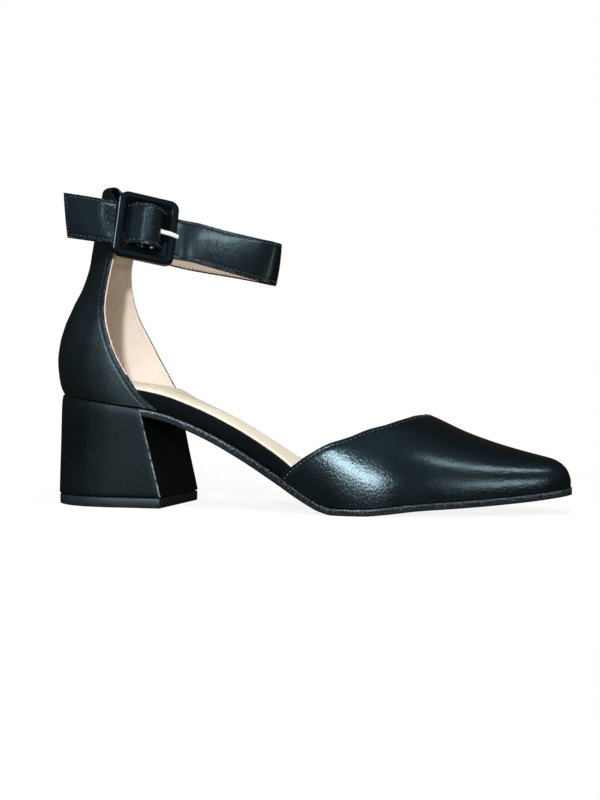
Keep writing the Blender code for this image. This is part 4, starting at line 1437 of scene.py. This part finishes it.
def prong_rings():
    """Sections of the flat prong from its ring to its tip."""
    turn = np.linspace(PRONG_RING_FROM, PRONG_RING_TO, PRONG_TURNS)
    ring = np.column_stack((PRONG_RING * np.cos(turn), PRONG_RING * np.sin(turn) - BAR_DROP, 0 * turn))
    shank = np.column_stack(list(PRONG_SHANK.values()))
    route = smooth_route(np.vstack((ring, shank)), PRONG_STEP)
    tangent = np.gradient(route, axis=0)
    tangent /= np.linalg.norm(tangent, axis=1, keepdims=True)
    normal = np.column_stack((-tangent[:, 1], tangent[:, 0]))
    around = np.linspace(0.0, 2 * math.pi, PRONG_SIDES, endpoint=False)
    across, through = (
        size / 2 * np.sign(turned) * np.abs(turned) ** PRONG_SQUARE
        for size, turned in ((PRONG_WIDTH, np.cos(around)), (PRONG_DEPTH, np.sin(around))))
    rings = []
    for i, (place, side) in enumerate(zip(route, normal)):
        shrink = PRONG_END if i in (0, len(route) - 1) else 1.0
        spots = place[:2] + side * (through * shrink)[:, None]
        rings.append(buckle_points(spots[:, 0], spots[:, 1], across * shrink + place[2]))
    return np.array(rings)


class SHOE_OT_buckle(bpy.types.Operator):
    """Square lacquered frame with its bar, and the plated prong"""

    bl_idname = "shoe.buckle"
    bl_label = "Buckle"

    def execute(self, context):
        colours = context.scene.shoe_colours
        rings = frame_rings()
        piece = closed_loft("buckle_square", np.concatenate((rings, rings[:1])))
        bpy.ops.object.select_all(action="DESELECT")
        bpy.ops.mesh.primitive_cylinder_add(
            vertices=BAR_SIDES, radius=BAR_RADIUS * MM, depth=(BUCKLE_HEIGHT - BUCKLE_BAR) * MM,
            location=(0.0, 0.0, -BAR_DROP * MM), rotation=(math.pi / 2, 0.0, 0.0))
        bar = bpy.context.object
        bpy.ops.object.transform_apply(location=True, rotation=True, scale=True)
        turn = Matrix(np.column_stack(buckle_axes()).tolist()).to_4x4()
        bar.data.transform(Matrix.Translation(Vector(to_metres(BUCKLE_MIDDLE))) @ turn)
        activate(piece)
        bar.select_set(True)
        bpy.ops.object.join()
        gloss = lacquer_material("lacquer", colours.lacquer)
        finish(piece, "buckle_lacquer", "buckle_frame", materials=[gloss])
        prong = closed_loft("prong", prong_rings())
        finish(prong, "prong_metal", "buckle_prong", materials=[metal_material("plating", colours.steel)])
        return {"FINISHED"}


def edge_ring(x, left, right, low, high, edge, crown=0.0):
    """Section of a flat layer with shaped edges; low and high are over the seat."""
    steps = edge["step"] * min(1.0, left / EDGE_FIT)
    heights = low + (high - low) * edge["share"]
    top = heights[-1]
    part, rise = CROWN_SIDE
    plan = np.array([
        *zip(steps - left, heights),
        (-left * part, top + crown * rise), (0.0, top + crown), (right * part, top + crown * rise),
        *zip((right - steps)[::-1], heights[::-1]),
        (0.0, heights[0]),
    ])
    y = axis(x) + plan[:, 0]
    return np.column_stack((np.full(len(y), x), y, seat(x, y) + plan[:, 1]))


class SHOE_OT_footbed(bpy.types.Operator):
    """Black wrapped insole board and the beige sock on it"""

    bl_idname = "shoe.footbed"
    bl_label = "Insole and sock"

    def execute(self, context):
        colours = context.scene.shoe_colours
        rings = []
        for x in stations(OUTLINE["x"][0] + INSOLE_EDGE + END_CLEAR, INSOLE_TOE):
            left, right = (half_breadth(x, side, -INSOLE_EDGE) for side in SIDES)
            rings.append(edge_ring(x, left, right, 0.0, insole_thickness(x), BOARD_EDGE))
        board = closed_loft("insole_board", np.array(rings))
        set_values(board, "edge", np.full(len(board.data.vertices), NO_EDGE_MARK))
        wrap = leather_material("insole wrap", colours.wrap)
        finish(board, "insole_wrap", "insole", materials=[wrap])
        rings = []
        for x in stations(OUTLINE["x"][0] - OUTLINE["flare"][0] + SOCK_EDGE + END_CLEAR, SOCK_TOE):
            left, right = (half_breadth(x, side, -SOCK_EDGE, 1.0) for side in SIDES)
            low = insole_thickness(x) + GAP * SOCK_LIFT
            high = low + SOCK_THICKNESS + GAP * (1 - SOCK_LIFT)
            rings.append(edge_ring(x, left, right, low, high, SOCK_EDGE_ROUND, SOCK_CROWN))
        sock = closed_loft("sock_pad", np.array(rings))
        cream = soft_material("sock leather", colours.sock, SOCK_ROUGHNESS, scale=1100.0, shade=0.94)
        finish(sock, "sock_lining", "sock", materials=[cream])
        return {"FINISHED"}


class SHOE_OT_outsole(bpy.types.Operator):
    """Thin sole with a shiny upper band that carries painted glints, a groove and a rounded lower edge"""

    bl_idname = "shoe.outsole"
    bl_label = "Outsole"

    def execute(self, context):
        colours = context.scene.shoe_colours
        xs = stations(SOLE_BACK, OUTLINE["x"][-1] + SOLE_RIM - END_CLEAR)
        xs = np.concatenate(([SOLE_BACK], xs[xs > SOLE_BACK + SOLE_BACK_SLANT + SOLE_BACK_CLEAR]))
        edge = {"share": 1 - SOLE_EDGE["share"][::-1], "step": SOLE_EDGE["step"][::-1]}
        rings = []
        for x in xs:
            left, right = (half_breadth(x, side, SOLE_RIM) for side in SIDES)
            ring = edge_ring(x, left, right, -GAP - sole_thickness(x), -GAP, edge)
            if x == SOLE_BACK:
                ring[:, 0] += SOLE_BACK_SLANT * (ring[:, 1] + SEAT_EDGE) / (2 * SEAT_EDGE)
            rings.append(ring)
        piece = closed_loft("sole", np.array(rings))
        co = np.array([vert.co for vert in piece.data.vertices]) / MM + MIDDLE
        depth = (seat(co[:, 0], co[:, 1]) - GAP - co[:, 2]) / sole_thickness(co[:, 0])
        set_values(piece, "band", np.where(depth < SOLE_BAND, 1.0, 0.0))
        finish(piece, "sole_rubber", "outsole", materials=[sole_material("sole", colours.sole)])
        return {"FINISHED"}


def heel_plan(share, trim=0.0):
    """Plan of the heel at a share of its height: breast, corners, sides and round back."""
    back = read(HEEL, "back", share) + trim
    breast = [read(HEEL, side, share) - trim for side in SIDES]
    spread = read(HEEL, "spread", share)
    reach = np.linspace(-1.0, 1.0, HEEL_PICKS)
    front = np.where(reach < 0, breast[0], breast[1]) - HEEL_CORNER
    depth = (front - back) * np.abs(reach) ** END_CROWDING
    parallel = np.minimum(depth, HEEL_PARALLEL)
    half = spread * half_breadth(OUTLINE["x"][0] + parallel, "lateral")
    half = np.maximum(half - trim * (np.abs(reach) > 0), 0.0)
    side = np.stack((back + depth, np.sign(reach) * half), axis=-1)
    turn = np.linspace(0.0, math.pi / 2, HEEL_TURNS)[1:]
    swing = np.column_stack((np.sin(turn), 1 - np.cos(turn))) * HEEL_CORNER
    first = side[0] + swing * (1, 1)
    last = side[-1] + swing * (1, -1)
    share_across = np.linspace(0.0, 1.0, BREAST_PICKS)[1:-1, None]
    breast_line = last[-1] * (1 - share_across) + first[-1] * share_across
    return np.vstack((first[::-1], side, last, breast_line))


def heel_ring(share, trim=0.0):
    """Section of the heel's cover at a share of its height."""
    plan = heel_plan(share, trim)
    low = LIFT_HEIGHT + GAP
    return np.column_stack((plan, low + share * (seat(plan[:, 0]) - GAP - low)))


class SHOE_OT_heel(bpy.types.Operator):
    """Leather-covered block heel and its top lift"""

    bl_idname = "shoe.heel"
    bl_label = "Heel and top lift"

    def execute(self, context):
        colours = context.scene.shoe_colours
        levels = np.column_stack(list(HEEL_LEVELS.values()))
        low, high = np.split(levels, 2)
        between = np.linspace(low[-1], high[0], HEEL_ROWS)[1:-1]
        rings = [heel_ring(share, trim) for share, trim in np.vstack((low, between, high))]
        block = closed_loft("heel_cover", np.array(rings))
        # Pale line along the heel's corners: a painted highlight, drawn with the pale edge colour.
        first = (HEEL_TURNS - 1) // 2
        last = first - (HEEL_TURNS - 1) - (BREAST_PICKS - 2)
        corners = [heel_ring(share)[[first, last]] for share in np.linspace(0.0, 1.0, SHEEN_LINE_PICKS)]
        set_values(block, "edge", distance_to(block, np.concatenate(corners)))
        cover = leather_material("heel leather", colours.leather)
        finish(block, "heel_cover", "heel", materials=[cover])
        rings = []
        for height, trim in zip(LIFT_LEVELS["height"], LIFT_LEVELS["trim"]):
            plan = heel_plan(0.0, trim)
            rings.append(np.column_stack((plan, np.full(len(plan), height))))
        lift = closed_loft("lift", np.array(rings))
        tread = rubber_material("lift rubber", colours.lift, LIFT_ROUGHNESS)
        finish(lift, "lift_rubber", "top_lift", materials=[tread])
        return {"FINISHED"}


def direction(azimuth, elevation):
    """Way from the shoe to a place seen at an azimuth and elevation."""
    flat = math.cos(elevation)
    return Vector((math.sin(azimuth) * flat, -math.cos(azimuth) * flat, math.sin(elevation)))


def softbox(name, strength):
    """Soft lamp that faces the shoe: for matt surfaces or for gloss, and for all pieces or some."""
    azimuth, elevation, distance, width, height, roll, watts = LAMPS[name]
    lamp = bpy.data.lights.new(name, "AREA")
    lamp.shape = "RECTANGLE"
    lamp.size, lamp.size_y = width, height
    lamp.energy = watts * strength
    matt = name in DIFFUSE_LAMPS
    lamp.color = MATT_LAMP if matt else GLOSS_LAMP
    holder = bpy.data.objects.new(name, lamp)
    bpy.context.scene.collection.objects.link(holder)
    target = Vector(LAMP_TARGET)
    holder.location = target + distance * direction(math.radians(azimuth), math.radians(elevation))
    holder.visible_glossy, holder.visible_diffuse = not matt, matt
    way = (target - holder.location).to_track_quat("-Z", "Y")
    holder.rotation_euler = (way @ Quaternion((0.0, 0.0, 1.0), math.radians(roll))).to_euler()
    if name in LAMP_PIECES:
        lit = bpy.data.collections.new(name + " pieces")
        for piece in bpy.context.scene.objects:
            if piece.type == "MESH" and piece.name.startswith(LAMP_PIECES[name]):
                lit.objects.link(piece)
        holder.light_linking.receiver_collection = lit


class SHOE_OT_stage(bpy.types.Operator):
    """Pale sweep, soft lights and the camera"""

    bl_idname = "shoe.stage"
    bl_label = "Stage"

    def execute(self, context):
        scene = context.scene
        stage, colours = scene.shoe_stage, scene.shoe_colours
        bpy.ops.object.select_all(action="DESELECT")
        bpy.ops.mesh.primitive_plane_add(size=FLOOR_SIZE)
        floor = context.object
        floor.name = "floor"
        floor.data.materials.append(self.floor_paint(colours.floor))
        floor.visible_glossy = floor.visible_diffuse = False
        self.light_world(scene, stage.surround)
        for name in LAMPS:
            softbox(name, stage.light)
        view = bpy.data.cameras.new("camera")
        view.sensor_fit = "AUTO"
        view.sensor_width = CAMERA_SENSOR
        view.lens = stage.focal
        view.clip_start = CAMERA_NEAR
        camera = bpy.data.objects.new("camera", view)
        scene.collection.objects.link(camera)
        target = Vector(to_metres(CAMERA_TARGET))
        camera.location = target + stage.distance * direction(stage.azimuth, stage.elevation)
        camera.rotation_euler = (target - camera.location).to_track_quat("-Z", "Y").to_euler()
        scene.camera = camera
        scene.view_settings.view_transform = "Standard"
        return {"FINISHED"}

    def floor_paint(self, colour):
        """Pale floor that takes the shoe's shadow near it and runs out to white."""
        material, tree, shader, place = start_material("floor paint")
        cloud = noise(tree, place, scale=2.0, detail=2.0)
        tone = blend(tree, cloud, *shades(colour, 0.98, 1.0))
        wire(tree, shader, {"Base Color": tone, "Roughness": 0.9, "Specular IOR Level": 0.1})
        white = add_node(tree, "ShaderNodeEmission", {"Color": (1.0, 1.0, 1.0, 1.0)})
        away = add_node(tree, "ShaderNodeVectorMath", {0: place}, operation="LENGTH").outputs["Value"]
        share = remap(tree, away, *WHITE_SHARE)
        inputs = {0: share, 1: shader.outputs[0], 2: white.outputs[0]}
        both = add_node(tree, "ShaderNodeMixShader", inputs)
        tree.links.new(both.outputs[0], tree.nodes["Material Output"].inputs["Surface"])
        return material

    def light_world(self, scene, strength):
        """White to the camera, a cool surround in gloss with a dim back, a warm one for matt surfaces."""
        world = bpy.data.worlds.new("studio")
        world.use_nodes = True
        scene.world = world
        tree = world.node_tree
        way = add_node(tree, "ShaderNodeTexCoord").outputs["Generated"]
        parts = add_node(tree, "ShaderNodeSeparateXYZ", {0: way})
        height = remap(tree, parts.outputs["Z"], *UPPER_SHARE)
        front = remap(tree, parts.outputs["Y"], *FRONT_SHARE)
        share = maths(tree, "MULTIPLY", height, front)
        tone = blend(tree, share, BACK_TONE, FRONT_TONE)
        gloss = add_node(tree, "ShaderNodeBackground", {"Color": tone, "Strength": strength})
        warm = add_node(tree, "ShaderNodeBackground", {"Color": (*MATT_TONE, 1.0), "Strength": strength})
        white = add_node(tree, "ShaderNodeBackground", {"Color": (1.0, 1.0, 1.0, 1.0), "Strength": 1.0})
        ray = add_node(tree, "ShaderNodeLightPath")
        inputs = {0: ray.outputs["Is Diffuse Ray"], 1: gloss.outputs[0], 2: warm.outputs[0]}
        shoe = add_node(tree, "ShaderNodeMixShader", inputs)
        inputs = {0: ray.outputs["Is Camera Ray"], 1: shoe.outputs[0], 2: white.outputs[0]}
        both = add_node(tree, "ShaderNodeMixShader", inputs)
        tree.links.new(both.outputs[0], tree.nodes["World Output"].inputs["Surface"])


PIECES = (
    SHOE_OT_vamp, SHOE_OT_counter, SHOE_OT_strap, SHOE_OT_buckle, SHOE_OT_footbed, SHOE_OT_outsole,
    SHOE_OT_heel, SHOE_OT_stage,
)


class SHOE_PT_panel(bpy.types.Panel):
    """Buttons and sizes of the shoe"""

    bl_idname = "SHOE_PT_panel"
    bl_label = "Heeled shoe"
    bl_space_type = "VIEW_3D"
    bl_region_type = "UI"
    bl_category = "Shoe"

    def draw(self, context):
        for piece in PIECES:
            self.layout.operator(piece.bl_idname)
        for group in (context.scene.shoe_sizes, context.scene.shoe_colours, context.scene.shoe_stage):
            box = self.layout.box()
            for name in group.__annotations__:
                box.prop(group, name)


CLASSES = (ShoeSizes, ShoeColours, ShoeStage, *PIECES, SHOE_PT_panel)


def register():
    """Add the shoe's classes and settings."""
    for item in CLASSES:
        bpy.utils.register_class(item)
    bpy.types.Scene.shoe_sizes = PointerProperty(type=ShoeSizes)
    bpy.types.Scene.shoe_colours = PointerProperty(type=ShoeColours)
    bpy.types.Scene.shoe_stage = PointerProperty(type=ShoeStage)


def unregister():
    """Remove the shoe's classes and settings."""
    del bpy.types.Scene.shoe_stage
    del bpy.types.Scene.shoe_colours
    del bpy.types.Scene.shoe_sizes
    for item in reversed(CLASSES):
        bpy.utils.unregister_class(item)


def main():
    """Build every piece, then the stage."""
    register()
    bpy.ops.shoe.vamp()
    bpy.ops.shoe.counter()
    bpy.ops.shoe.strap()
    bpy.ops.shoe.buckle()
    bpy.ops.shoe.footbed()
    bpy.ops.shoe.outsole()
    bpy.ops.shoe.heel()
    bpy.ops.shoe.stage()


if __name__ == "__main__":
    main()
